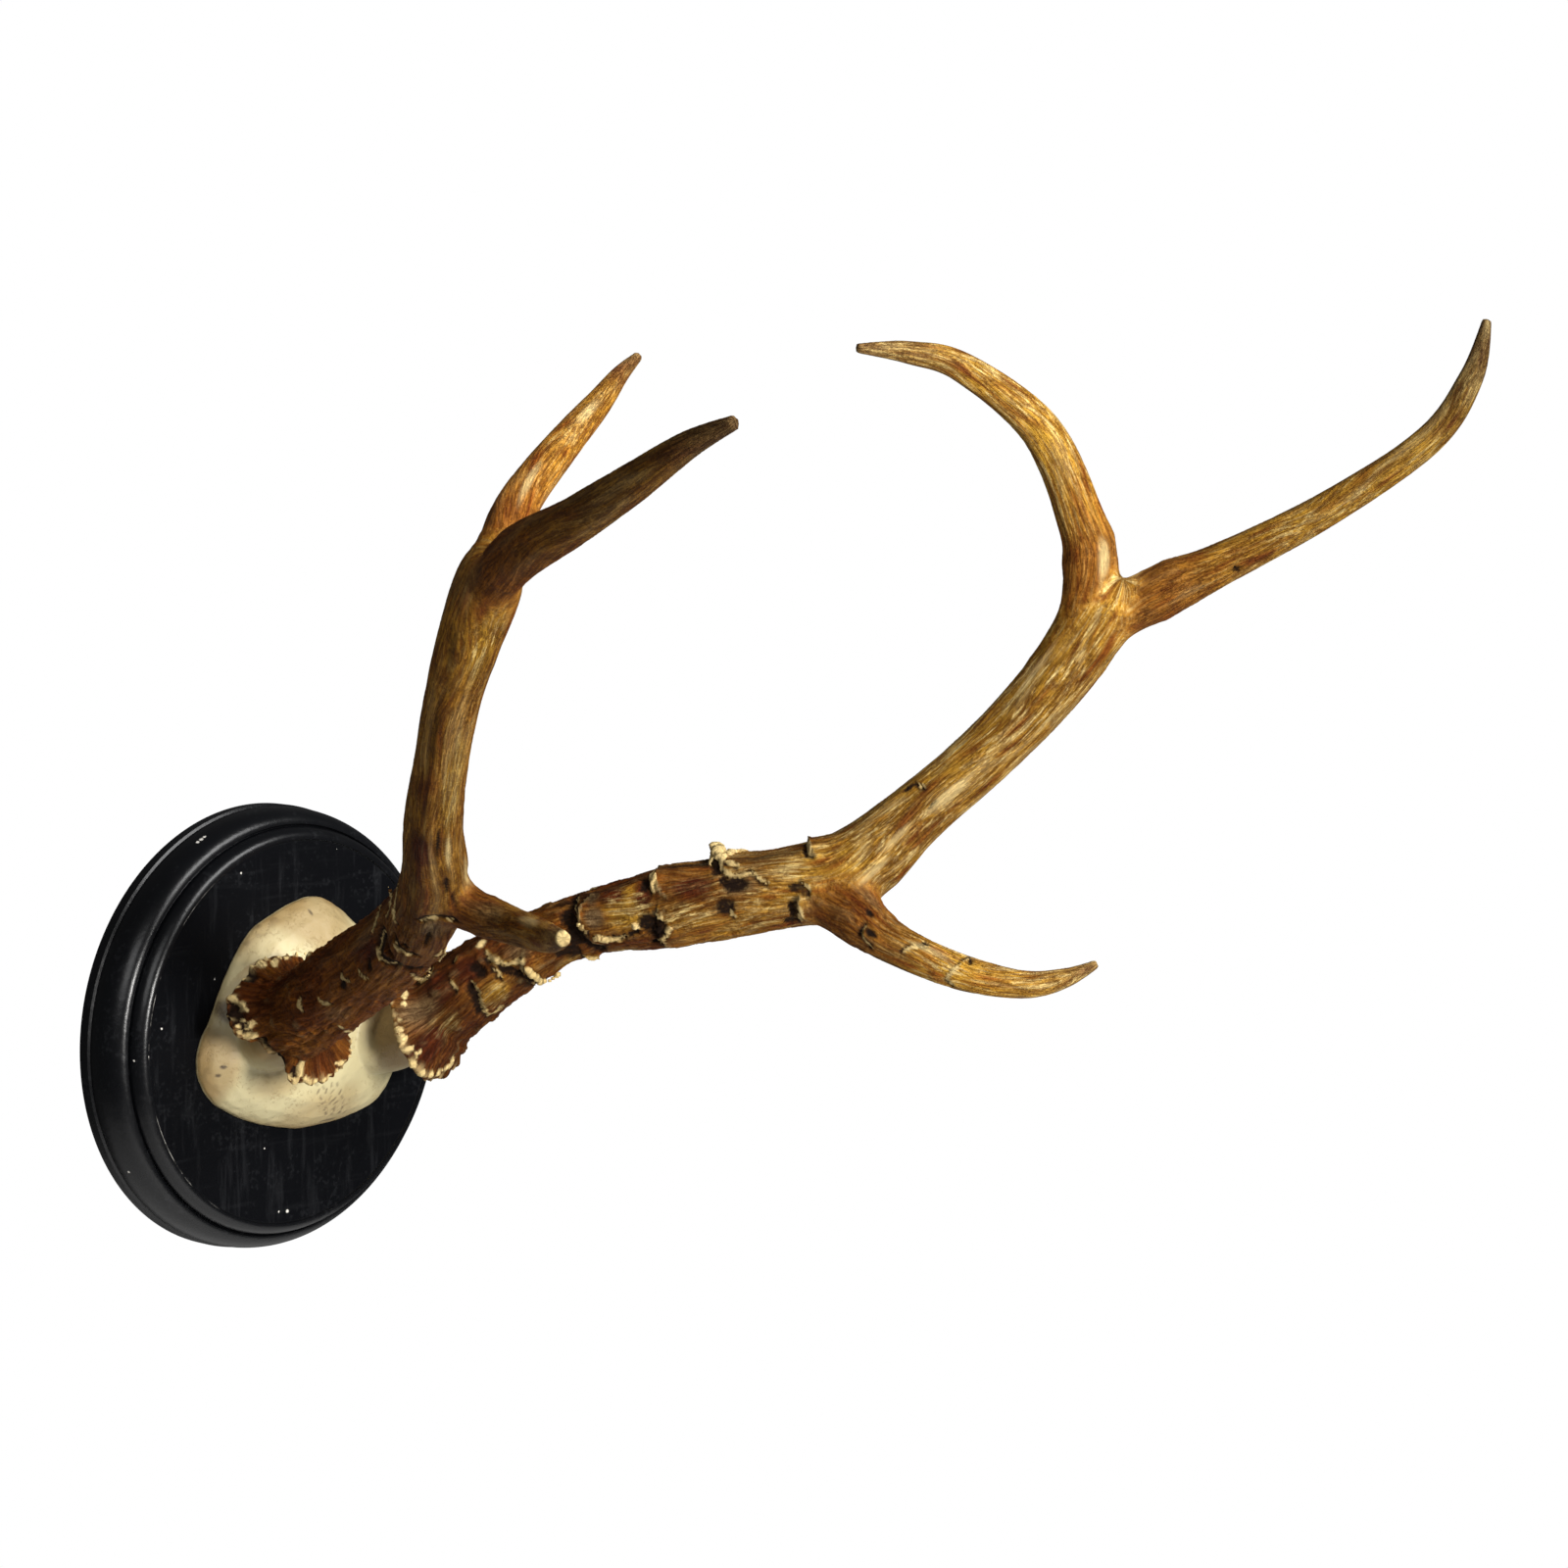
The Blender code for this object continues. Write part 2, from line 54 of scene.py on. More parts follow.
# Sizes that the solids share with this file
ANTLER_REACH = 0.344
FIELD_HEIGHT = 0.0246
PART_GAP = 0.0003
SEAT_SPREAD = 0.0345
SEAT_RISE = 0.0065
SEAT_OUT = 0.0310
SEAT_SPLAY = math.radians(21.0)
SEAT_LIFT = math.radians(28.0)
SKULL_TILT = math.radians(8.5)

# The photograph's middle and its focal length in pixels, a pixel's width at the antlers, and the
# spacing of the pits of a void as a share of its half width
PHOTO_MIDDLE = 800.0
PHOTO_FOCAL = 3502.0
PIXEL_WIDTH = 0.00046
VOID_STEP = 1.3

# Each burr's rim: the degrees round its seat, and the radius there as a share of the burr's radius
LEFT_BURR_RIM = (
    (-180, 1.06), (-165, 1.06), (-135, 1.00), (-92, 0.91), (-66, 1.02), (-52, 0.96),
    (-41, 0.86), (-22, 0.62), (5, 0.62), (20, 0.97), (60, 1.03), (88, 1.04),
    (102, 0.96), (116, 0.82), (135, 0.82), (160, 0.94), (180, 1.06),
)
RIGHT_BURR_RIM = (
    (-180, 0.84), (-93, 0.83), (-60, 0.95), (-37, 1.12), (-8, 1.12), (36, 0.86),
    (63, 0.84), (103, 1.06), (120, 1.12), (135, 1.08), (155, 0.92), (180, 0.84),
)


class Side(Enum):
    """Which of the two antlers is meant, by the sign of its X."""

    LEFT = -1
    RIGHT = 1


class Hue(Enum):
    """A tint that an antler's surface can take in a patch, named by its mask; one of them is painted shade.
    """

    GOLD = "gold"
    RED = "red"
    GREY = "grey"
    # painted shade: a near-black tint laid in grooves, pits, ledge feet, hollows beside rims and patches
    DARK = "dark"
    PALE = "pale"


BURR_RIMS = {Side.LEFT: LEFT_BURR_RIM, Side.RIGHT: RIGHT_BURR_RIM}


@dataclass(frozen=True)
class Station:
    """A cross-section of a branch: its centre and width as shares of the antler's reach."""

    out_x: float
    out_y: float
    up_z: float
    width: float


@dataclass(frozen=True)
class Ledge:
    """A broad scale that rises at a sharp front and sinks back along the branch."""

    start: float
    length: float
    angle: float
    spread: float
    height: float


@dataclass(frozen=True)
class Lip:
    """The pale rim of a raised scale, or with one point a pearl.

    The line's points are shares along the branch, angles round it and shares of its radius. The
    surface falls into a hollow with painted shade on one side of the rim, further along the branch
    where the hollow's reach is above zero and nearer the burr where it is below.
    """

    line: tuple
    thick: float
    hollow: float = 0.0


@dataclass(frozen=True)
class Pit:
    """A hollow in the surface with painted shade in it, by its place, its half length and half width, and its
    depth.
    """

    along: float
    angle: float
    half_length: float
    half_width: float
    depth: float


@dataclass(frozen=True)
class Patch:
    """A soft patch of one tint, by its place and its half length and half width."""

    hue: Hue
    along: float
    angle: float
    half_length: float
    half_width: float
    amount: float


@dataclass(frozen=True)
class RimMark:
    """A rim or pearl picked on the photograph: the pixels that it runs through, and a lip's sizes."""

    pixels: tuple
    thick: float
    hollow: float = 0.0


@dataclass(frozen=True)
class PitMark:
    """A hollow picked on the photograph: its pixel, and a pit's sizes."""

    pixel: tuple
    half_length: float
    half_width: float
    depth: float


@dataclass(frozen=True)
class PatchMark:
    """A patch of one tint picked on the photograph: its pixel, and a patch's sizes."""

    hue: Hue
    pixel: tuple
    half_length: float
    half_width: float
    amount: float


@dataclass(frozen=True)
class VoidMark:
    """A long hollow picked on the photograph: the pixels that it runs through.

    Its half width is in pixels and its depth in metres.
    """

    pixels: tuple
    half_width: float
    depth: float

    def pits(self) -> list:
        """Give the overlapping pits that make up the hollow, as marks on the photograph."""
        knots = [self.pixels[0]]
        for start, end in zip(self.pixels, self.pixels[1:]):
            steps = max(1, round(math.dist(start, end) / (self.half_width * VOID_STEP)))
            for step in range(1, steps + 1):
                knots.append(tuple(a + (b - a) * step / steps for a, b in zip(start, end)))
        half = round(self.half_width * PIXEL_WIDTH, 5)
        return [PitMark(knot, half, half, self.depth) for knot in knots]


@dataclass(frozen=True)
class Marks:
    """Everything that was picked on the photograph of one antler."""

    rims: tuple
    pits: tuple
    patches: tuple
    voids: tuple = ()


@dataclass(frozen=True)
class Branch:
    """A beam or tine: its stations, its section, how light it is along it, and what grows on it."""

    name: str
    stations: tuple
    thin: float
    flutes: float
    roughness: tuple
    tone: tuple = (1.0, 1.0)
    ledges: tuple = ()
    lips: tuple = ()
    pits: tuple = ()
    patches: tuple = ()


class Noise:
    """Smooth seeded noise over points in space, from about -1 to 1."""

    def __init__(self, seed: int) -> None:
        """Draw the lattice's slopes from a seed.

        Args:
            seed: the number that fixes the pattern.
        """
        draw = np.random.default_rng(seed)
        self.order = draw.permutation(256)
        slopes = draw.normal(size=(256, 3))
        self.slopes = slopes / np.linalg.norm(slopes, axis=1, keepdims=True)

    def __call__(self, points: np.ndarray) -> np.ndarray:
        """Read the noise.

        Args:
            points: places, one a row, with a lattice cell one unit wide.

        Returns:
            One value for each place.
        """
        cell = np.floor(points).astype(np.int64)
        inner = points - cell
        ease = inner * inner * inner * (inner * (inner * 6 - 15) + 10)
        total = np.zeros(len(points))
        for corner in range(8):
            offset = np.array([(corner >> axis) & 1 for axis in range(3)])
            place = (cell + offset) & 255
            row = self.order[(self.order[place[:, 0]] + place[:, 1]) & 255]
            index = self.order[(row + place[:, 2]) & 255]
            slope = ((inner - offset) * self.slopes[index]).sum(axis=1)
            weight = np.where(offset == 1, ease, 1.0 - ease).prod(axis=1)
            total += weight * slope
        return total * 1.5


def smooth(low: float, high: float, value: np.ndarray) -> np.ndarray:
    """Ease from 0 at low to 1 at high.

    Args:
        low: where the rise starts, or the fall ends if it is above high.
        high: where the rise ends.
        value: the values to ease.

    Returns:
        The eased values, from 0 to 1.
    """
    share = np.clip((value - low) / (high - low), 0.0, 1.0)
    return share * share * (3.0 - 2.0 * share)


def unit(rows: np.ndarray) -> np.ndarray:
    """Scale each row to length one."""
    return rows / np.linalg.norm(rows, axis=-1, keepdims=True)


def spline(values: np.ndarray, place: np.ndarray) -> np.ndarray:
    """Read a smooth curve through evenly numbered values.

    Args:
        values: the values that the curve passes through, one a row.
        place: where to read it, from 0 to the last row's number.

    Returns:
        One row for each place.
    """
    last = len(values) - 1
    index = np.minimum(place.astype(int), last - 1)
    share = (place - index).reshape((-1,) + (1,) * (values.ndim - 1))
    before, here = values[np.maximum(index - 1, 0)], values[index]
    there, after = values[index + 1], values[np.minimum(index + 2, last)]
    leaving, arriving = (there - before) * 0.5, (after - here) * 0.5
    square, cube = share**2, share**3
    return (
        here * (2 * cube - 3 * square + 1)
        + leaving * (cube - 2 * square + share)
        + there * (3 * square - 2 * cube)
        + arriving * (cube - square)
    )


def tilted(point: tuple) -> np.ndarray:
    """Turn a point with the skull plate about the disc's axis."""
    return np.array(Matrix.Rotation(SKULL_TILT, 3, "Y") @ Vector(point))


def seat_centre(side: Side) -> np.ndarray:
    """Give the middle of an antler's seat on its pedicle."""
    return tilted((side.value * SEAT_SPREAD, -(FIELD_HEIGHT + SEAT_OUT), SEAT_RISE))


def seat_axis(side: Side) -> np.ndarray:
    """Give the direction in which an antler leaves its pedicle."""
    level = math.cos(SEAT_LIFT)
    out = (side.value * math.sin(SEAT_SPLAY) * level, -math.cos(SEAT_SPLAY) * level, math.sin(SEAT_LIFT))
    return tilted(out)


class CentreLine:
    """The finely sampled middle of a branch, with its own compass at each sample."""

    STEPS = 40

    def __init__(self, branch: Branch, side: Side) -> None:
        """Sample the branch.

        Args:
            branch: the beam or tine.
            side: the antler that it grows on.
        """
        middles = np.array([(s.out_x, s.out_y, s.up_z) for s in branch.stations]) * ANTLER_REACH
        widths = np.array([s.width for s in branch.stations]) * ANTLER_REACH / 2
        place = np.linspace(0, len(middles) - 1, (len(middles) - 1) * self.STEPS + 1)
        self.branch = branch
        self.share = place / place[-1]
        self.points = spline(middles, place) + seat_centre(side)
        self.radii = spline(widths, place)
        steps = np.linalg.norm(np.diff(self.points, axis=0), axis=1)
        self.lengths = np.concatenate(([0.0], np.cumsum(steps)))
        self.tangents = unit(np.gradient(self.points, axis=0))
        face = unit(np.array([-0.78 * side.value, -0.62, 0.10]))
        self.thin = unit(face - self.tangents * (self.tangents @ face)[:, None])
        self.wide = np.cross(self.thin, self.tangents) * side.value

    def ring(self, index: int, turns: np.ndarray, grow: float = 1.0) -> np.ndarray:
        """Give points round the branch.

        Args:
            index: the sample's number.
            turns: angles in radians, with 0 on the wide side and a quarter turn on the face.
            grow: the share of the radius at which the points lie.

        Returns:
            One point for each angle.
        """
        swell = 1.0 + self.branch.flutes * np.cos(6 * turns + 5.0 * self.share[index])
        radius = self.radii[index] * grow * swell
        wide = self.wide[index] * (np.cos(turns) * radius)[:, None]
        thin = self.thin[index] * (np.sin(turns) * radius * self.branch.thin)[:, None]
        return self.points[index] + wide + thin

    def surface(self, along: float, angle: float, grow: float = 1.0) -> np.ndarray:
        """Give the point on the branch at a share along it and an angle in degrees."""
        index = int(round(along * (len(self.points) - 1)))
        return self.ring(index, np.array([math.radians(angle)]), grow)[0]

    def locate(self, places: np.ndarray) -> tuple:
        """Find where places lie along and round the branch.

        Args:
            places: points in space, one a row.

        Returns:
            The nearest sample's number, the angle in radians, and the distance from the middle as a
            share of the branch's own radius, for each place.
        """
        index = np.empty(len(places), dtype=np.int64)
        for start in range(0, len(places), 4000):
            part = places[start : start + 4000]
            gaps = ((part[:, None, :] - self.points[None, :, :]) ** 2).sum(axis=2)
            index[start : start + 4000] = gaps.argmin(axis=1)
        out = places - self.points[index]
        wide = (out * self.wide[index]).sum(axis=1)
        thin = (out * self.thin[index]).sum(axis=1) / self.branch.thin
        beyond = (out * self.tangents[index]).sum(axis=1)
        reach = np.sqrt(wide**2 + thin**2 + beyond**2) / np.maximum(self.radii[index], 0.0008)
        return index, np.arctan2(thin, wide), reach


RIGHT_BEAM = Branch(
    name="beam",
    stations=(
        Station(0.000, 0.000, 0.000, 0.092),
        Station(0.022, -0.068, 0.058, 0.086),
        Station(0.063, -0.156, 0.117, 0.067),
        Station(0.112, -0.264, 0.148, 0.087),
        Station(0.162, -0.357, 0.169, 0.088),
        Station(0.211, -0.428, 0.192, 0.091),
        Station(0.263, -0.481, 0.255, 0.070),
        Station(0.314, -0.541, 0.326, 0.068),
        Station(0.348, -0.594, 0.397, 0.072),
        Station(0.364, -0.640, 0.469, 0.080),
        Station(0.367, -0.659, 0.499, 0.064),
    ),
    thin=0.84,
    flutes=0.030,
    roughness=(1.0, 1.0, 1.0, 0.9, 0.7, 0.55, 0.5, 0.45, 0.4, 0.35, 0.3),
    tone=(0.74, 0.98, 1.00, 1.10, 1.10, 0.96, 1.0, 1.03, 1.15, 1.3),
    ledges=(
        Ledge(0.148, 0.070, 140.0, 50.0, 0.0070),
        Ledge(0.223, 0.068, 88.0, 52.0, 0.0085),
        Ledge(0.296, 0.050, 35.0, 42.0, 0.0064),
        Ledge(0.291, 0.055, 128.0, 40.0, 0.0058),
        Ledge(0.350, 0.070, 10.0, 40.0, 0.0087),
        Ledge(0.438, 0.050, 120.0, 28.0, 0.0046),
        Ledge(0.463, 0.050, 20.0, 35.0, 0.0060),
    ),
)
RIGHT_OUTER = Branch(
    name="outer",
    stations=(
        Station(0.347, -0.614, 0.437, 0.044),
        Station(0.390, -0.687, 0.493, 0.061),
        Station(0.421, -0.750, 0.527, 0.046),
        Station(0.464, -0.855, 0.589, 0.037),
        Station(0.497, -0.953, 0.662, 0.032),
        Station(0.503, -0.996, 0.726, 0.026),
        Station(0.499, -1.014, 0.785, 0.010),
    ),
    thin=0.86,
    flutes=0.030,
    roughness=(0.35, 0.3, 0.25, 0.2, 0.15, 0.08, 0.02),
    tone=(1.3, 1.15, 1.0, 0.85, 0.6, 0.45),
)
RIGHT_INNER = Branch(
    name="inner",
    stations=(
        Station(0.350, -0.622, 0.450, 0.044),
        Station(0.349, -0.641, 0.524, 0.062),
        Station(0.331, -0.638, 0.575, 0.050),
        Station(0.272, -0.625, 0.667, 0.043),
        Station(0.179, -0.592, 0.728, 0.032),
        Station(0.122, -0.565, 0.742, 0.024),
        Station(0.066, -0.541, 0.745, 0.010),
    ),
    thin=0.88,
    flutes=0.030,
    roughness=(0.35, 0.3, 0.25, 0.2, 0.15, 0.08, 0.02),
    tone=(1.3, 1.4, 1.35, 1.1, 1.0, 1.0),
)
RIGHT_LOW = Branch(
    name="low",
    stations=(
        Station(0.180, -0.397, 0.174, 0.052),
        Station(0.190, -0.450, 0.155, 0.066),
        Station(0.191, -0.505, 0.127, 0.045),
        Station(0.217, -0.576, 0.100, 0.039),
        Station(0.251, -0.633, 0.089, 0.031),
        Station(0.277, -0.667, 0.096, 0.022),
        Station(0.300, -0.693, 0.112, 0.009),
    ),
    thin=0.88,
    flutes=0.030,
    roughness=(0.6, 0.6, 0.5, 0.4, 0.3, 0.15, 0.02),
    tone=(1.0, 1.25, 1.35, 1.2, 1.0),
)
LEFT_BEAM = Branch(
    name="beam",
    stations=(
        Station(0.000, 0.000, 0.000, 0.094),
        Station(-0.030, -0.082, 0.036, 0.094),
        Station(-0.065, -0.166, 0.075, 0.090),
        Station(-0.115, -0.272, 0.121, 0.084),
        Station(-0.171, -0.371, 0.173, 0.079),
        Station(-0.221, -0.431, 0.222, 0.072),
        Station(-0.267, -0.474, 0.272, 0.064),
        Station(-0.317, -0.534, 0.343, 0.058),
        Station(-0.352, -0.587, 0.418, 0.062),
        Station(-0.370, -0.638, 0.495, 0.074),
        Station(-0.373, -0.654, 0.521, 0.056),
    ),
    thin=0.84,
    flutes=0.035,
    roughness=(1.0, 1.0, 1.0, 0.9, 0.7, 0.5, 0.4, 0.35, 0.3, 0.3, 0.3),
    tone=(0.80, 1.25, 1.20, 0.95, 0.78, 0.80, 0.84, 0.86, 1.0),
)
LEFT_OUTER = Branch(
    name="outer",
    stations=(
        Station(-0.354, -0.614, 0.462, 0.040),
        Station(-0.401, -0.690, 0.517, 0.048),
        Station(-0.447, -0.803, 0.554, 0.039),
        Station(-0.485, -0.905, 0.590, 0.031),
        Station(-0.502, -0.971, 0.618, 0.022),
        Station(-0.506, -1.019, 0.635, 0.012),
    ),
    thin=0.90,
    flutes=0.030,
    roughness=(0.3, 0.3, 0.25, 0.2, 0.1, 0.02),
    tone=(1.0, 0.85, 0.62, 0.55, 0.55),
    patches=(Patch(Hue.GREY, 0.145, -85, 0.012, 0.004, 0.5),),
)
LEFT_INNER = Branch(
    name="inner",
    stations=(
        Station(-0.363, -0.619, 0.466, 0.040),
        Station(-0.355, -0.637, 0.521, 0.053),
        Station(-0.324, -0.632, 0.567, 0.042),
        Station(-0.254, -0.617, 0.615, 0.034),
        Station(-0.183, -0.593, 0.651, 0.027),
        Station(-0.120, -0.564, 0.679, 0.018),
        Station(-0.077, -0.548, 0.697, 0.010),
    ),
    thin=0.90,
    flutes=0.030,
    roughness=(0.3, 0.3, 0.25, 0.2, 0.15, 0.08, 0.02),
    tone=(1.1, 1.4, 1.4, 1.2, 1.1),
)
LEFT_LOW = Branch(
    name="low",
    stations=(
        Station(-0.180, -0.402, 0.190, 0.044),
        Station(-0.193, -0.447, 0.184, 0.047),
        Station(-0.195, -0.497, 0.175, 0.037),
        Station(-0.221, -0.560, 0.174, 0.032),
        Station(-0.254, -0.610, 0.178, 0.025),
        Station(-0.286, -0.652, 0.186, 0.015),
    ),
    thin=0.90,
    flutes=0.030,
    roughness=(0.5, 0.45, 0.35, 0.3, 0.25, 0.2),
    tone=(0.8, 0.8, 0.9, 1.0),
    patches=(
        Patch(Hue.PALE, 1.0, -90, 0.0018, 0.006, 1.0),
        Patch(Hue.PALE, 1.0, 30, 0.0018, 0.006, 1.0),
    ),
)


# What was picked on the photograph, by its pixels from the top left corner
RIGHT_MARKS = Marks(
    rims=(
        RimMark(((491, 963),), 0.0018),
        RimMark(((497, 970), (503, 977), (512, 982), (520, 984)), 0.0015, -0.0016),
        RimMark(((520, 984), (527, 982), (535, 980)), 0.0012, -0.0016),
        RimMark(((504, 988), (510, 994), (514, 998)), 0.0007, -0.0016),
        RimMark(((536, 988), (543, 995), (550, 1001), (558, 1003), (564, 1000)), 0.001, -0.0025),
        RimMark(((564, 998), (570, 995)), 0.001, -0.0016),
        RimMark(((592, 912), (586, 924), (586, 935)), 0.0005, -0.0025),
        RimMark(((586, 935), (592, 945), (600, 953)), 0.0006, -0.0025),
        RimMark(((605, 957), (615, 959), (628, 959), (640, 956)), 0.001, -0.0016),
        RimMark(((598, 907), (607, 906)), 0.0008, -0.0016),
        RimMark(((594, 977), (602, 980), (612, 979)), 0.0014, -0.0016),
        RimMark(((665, 889), (664, 898), (667, 909)), 0.0017, -0.002),
        RimMark(((650, 946),), 0.0012),
        RimMark(((670, 928), (668, 935), (677, 940)), 0.0008, -0.0016),
        RimMark(((683, 944), (679, 955), (673, 962)), 0.0009, -0.0016),
        RimMark(((463, 980), (468, 976)), 0.0011, -0.0016),
        RimMark(((461, 1003), (466, 1010)), 0.0012, -0.0016),
        RimMark(((482, 1002), (488, 1010), (492, 1022), (496, 1033), (500, 1037)), 0.0009, -0.0016),
        RimMark(((501, 1036), (508, 1033), (514, 1026)), 0.0013, -0.0016),
        RimMark(((420, 990), (425, 998), (432, 1000), (439, 995), (441, 987)), 0.0008, -0.0016),
        RimMark(((724, 880), (727, 871), (731, 868), (735, 872), (737, 880)), 0.0012),
        RimMark(((737, 880), (739, 888), (745, 892), (755, 893), (766, 890)), 0.0013, -0.0016),
        RimMark(((742, 873), (752, 869), (762, 869)), 0.0009),
        RimMark(((741, 880), (752, 884)), 0.0008, -0.0016),
        RimMark(((768, 888), (775, 898), (784, 901)), 0.0008, -0.0016),
        RimMark(((745, 930), (752, 936)), 0.0012, -0.0016),
        RimMark(((812, 921), (817, 930), (817, 940)), 0.0013, -0.002),
        RimMark(((825, 857), (824, 866), (829, 873)), 0.001, -0.0015),
        RimMark(((818, 900), (826, 908), (826, 914)), 0.0008, -0.0016),
        RimMark(((884, 945), (880, 954), (884, 962), (890, 967)), 0.0011, -0.0015),
        RimMark(((922, 972), (930, 966), (938, 966)), 0.0009, -0.0016),
        RimMark(((940, 965), (947, 965)), 0.0008, -0.0016),
        RimMark(((990, 977), (978, 986), (970, 993), (967, 1000), (973, 1006)), 0.0009, -0.0012),
        RimMark(((936, 799), (944, 802)), 0.0007, -0.0016),
        RimMark(((413, 1012), (413, 1019)), 0.0013),
        RimMark(((412, 1025),), 0.001),
        RimMark(((405, 1042), (411, 1041)), 0.0013),
        RimMark(((404, 1051), (410, 1052)), 0.0013),
        RimMark(((407, 1061), (413, 1060)), 0.002),
        RimMark(((406, 1069), (414, 1071), (421, 1069)), 0.0015),
        RimMark(((424, 1073), (426, 1079)), 0.0014),
        RimMark(((429, 1073),), 0.0008),
        RimMark(((418, 1083), (422, 1089)), 0.0021),
        RimMark(((427, 1092), (433, 1096)), 0.0019),
        RimMark(((440, 1097),), 0.0015),
        RimMark(((447, 1096),), 0.0012),
        RimMark(((448, 1093), (455, 1091), (460, 1085), (462, 1079)), 0.0013),
    ),
    voids=(
        VoidMark(((580, 936), (584, 948), (587, 960), (584, 972)), 8.0, 0.001),
        VoidMark(((572, 975), (590, 974)), 4.0, 0.001),
        VoidMark(((594, 958), (604, 965), (614, 970)), 6.0, 0.001),
        VoidMark(((660, 942), (668, 947), (672, 953)), 8.0, 0.001),
        VoidMark(((667, 962),), 4.0, 0.001),
        VoidMark(((622, 958), (636, 957), (652, 951)), 2.5, 0.0008),
        VoidMark(((730, 876), (731, 888)), 5.0, 0.001),
        VoidMark(((737, 898),), 4.0, 0.001),
        VoidMark(((657, 896), (659, 906)), 3.0, 0.0008),
        VoidMark(((667, 885),), 3.0, 0.0008),
        VoidMark(((512, 987), (526, 994), (543, 1001)), 4.5, 0.001),
        VoidMark(((484, 988), (490, 993)), 5.0, 0.001),
        VoidMark(((480, 1008), (486, 1020), (490, 1032)), 4.5, 0.001),
        VoidMark(((497, 980),), 4.0, 0.001),
    ),
    pits=(
        PitMark((750, 903), 0.005, 0.003, 0.0005),
        PitMark((740, 925), 0.0035, 0.0035, 0.0005),
        PitMark((808, 930), 0.0014, 0.0045, 0.0016),
        PitMark((805, 941), 0.0022, 0.002, 0.0012),
        PitMark((821, 868), 0.0012, 0.0028, 0.001),
        PitMark((812, 905), 0.003, 0.0018, 0.0005),
        PitMark((822, 911), 0.0018, 0.0018, 0.0006),
        PitMark((878, 950), 0.0009, 0.003, 0.0008),
        PitMark((888, 952), 0.0022, 0.0016, 0.0004),
        PitMark((887, 932), 0.0018, 0.0012, 0.0004),
        PitMark((928, 803), 0.0026, 0.0014, 0.0004),
        PitMark((953, 820), 0.0024, 0.0008, 0.0003),
        PitMark((991, 981), 0.0008, 0.002, 0.0005),
        PitMark((1262, 581), 0.0012, 0.0016, 0.001),
        PitMark((945, 962), 0.0015, 0.001, 0.0004),
    ),
    # the near-black patches are painted shade
    patches=(
        PatchMark(Hue.GREY, (604, 916), 0.003, 0.0035, 1.2),
        PatchMark(Hue.GREY, (607, 936), 0.0045, 0.0045, 1.3),
        PatchMark(Hue.GOLD, (640, 920), 0.009, 0.009, 1.0),
        PatchMark(Hue.DARK, (610, 966), 0.005, 0.003, 0.9),
        PatchMark(Hue.DARK, (583, 930), 0.003, 0.005, 0.7),
        PatchMark(Hue.RED, (655, 915), 0.004, 0.008, 1.0),
        PatchMark(Hue.GREY, (612, 968), 0.0045, 0.003, 0.7),
        PatchMark(Hue.GOLD, (507, 1016), 0.007, 0.007, 1.0),
        PatchMark(Hue.GOLD, (700, 935), 0.01, 0.005, 1.0),
        PatchMark(Hue.GOLD, (580, 982), 0.008, 0.003, 1.0),
        PatchMark(Hue.GOLD, (640, 970), 0.008, 0.003, 0.8),
        PatchMark(Hue.RED, (445, 1010), 0.006, 0.006, 0.8),
        PatchMark(Hue.RED, (478, 990), 0.004, 0.006, 0.9),
        PatchMark(Hue.RED, (440, 1066), 0.006, 0.004, 0.9),
        PatchMark(Hue.GREY, (430, 1030), 0.008, 0.006, 0.9),
        PatchMark(Hue.GOLD, (455, 1045), 0.007, 0.006, 0.7),
        PatchMark(Hue.GOLD, (640, 930), 0.01, 0.008, 0.4),
        PatchMark(Hue.RED, (625, 915), 0.006, 0.004, 0.8),
        PatchMark(Hue.GREY, (530, 970), 0.007, 0.005, 0.8),
        PatchMark(Hue.DARK, (700, 883), 0.018, 0.0022, 0.75),
        PatchMark(Hue.DARK, (790, 872), 0.018, 0.002, 0.6),
        PatchMark(Hue.DARK, (590, 916), 0.018, 0.002, 0.6),
        PatchMark(Hue.RED, (705, 905), 0.008, 0.004, 0.7),
        PatchMark(Hue.GREY, (755, 905), 0.008, 0.004, 0.8),
        PatchMark(Hue.PALE, (970, 810), 0.012, 0.0022, 0.7),
        PatchMark(Hue.PALE, (892, 890), 0.008, 0.0016, 0.6),
        PatchMark(Hue.PALE, (915, 855), 0.009, 0.0016, 0.5),
        PatchMark(Hue.PALE, (950, 970), 0.009, 0.0016, 0.5),
        PatchMark(Hue.GREY, (890, 915), 0.006, 0.004, 0.5),
        PatchMark(Hue.DARK, (855, 962), 0.014, 0.0014, 0.6),
        PatchMark(Hue.DARK, (910, 985), 0.016, 0.0014, 0.5),
        PatchMark(Hue.PALE, (1128, 570), 0.008, 0.003, 0.8),
        PatchMark(Hue.PALE, (1150, 590), 0.006, 0.004, 0.7),
        PatchMark(Hue.PALE, (1080, 420), 0.014, 0.002, 0.5),
        PatchMark(Hue.DARK, (1145, 560), 0.007, 0.0015, 0.5),
        PatchMark(Hue.PALE, (1060, 680), 0.014, 0.0018, 0.5),
    ),
)

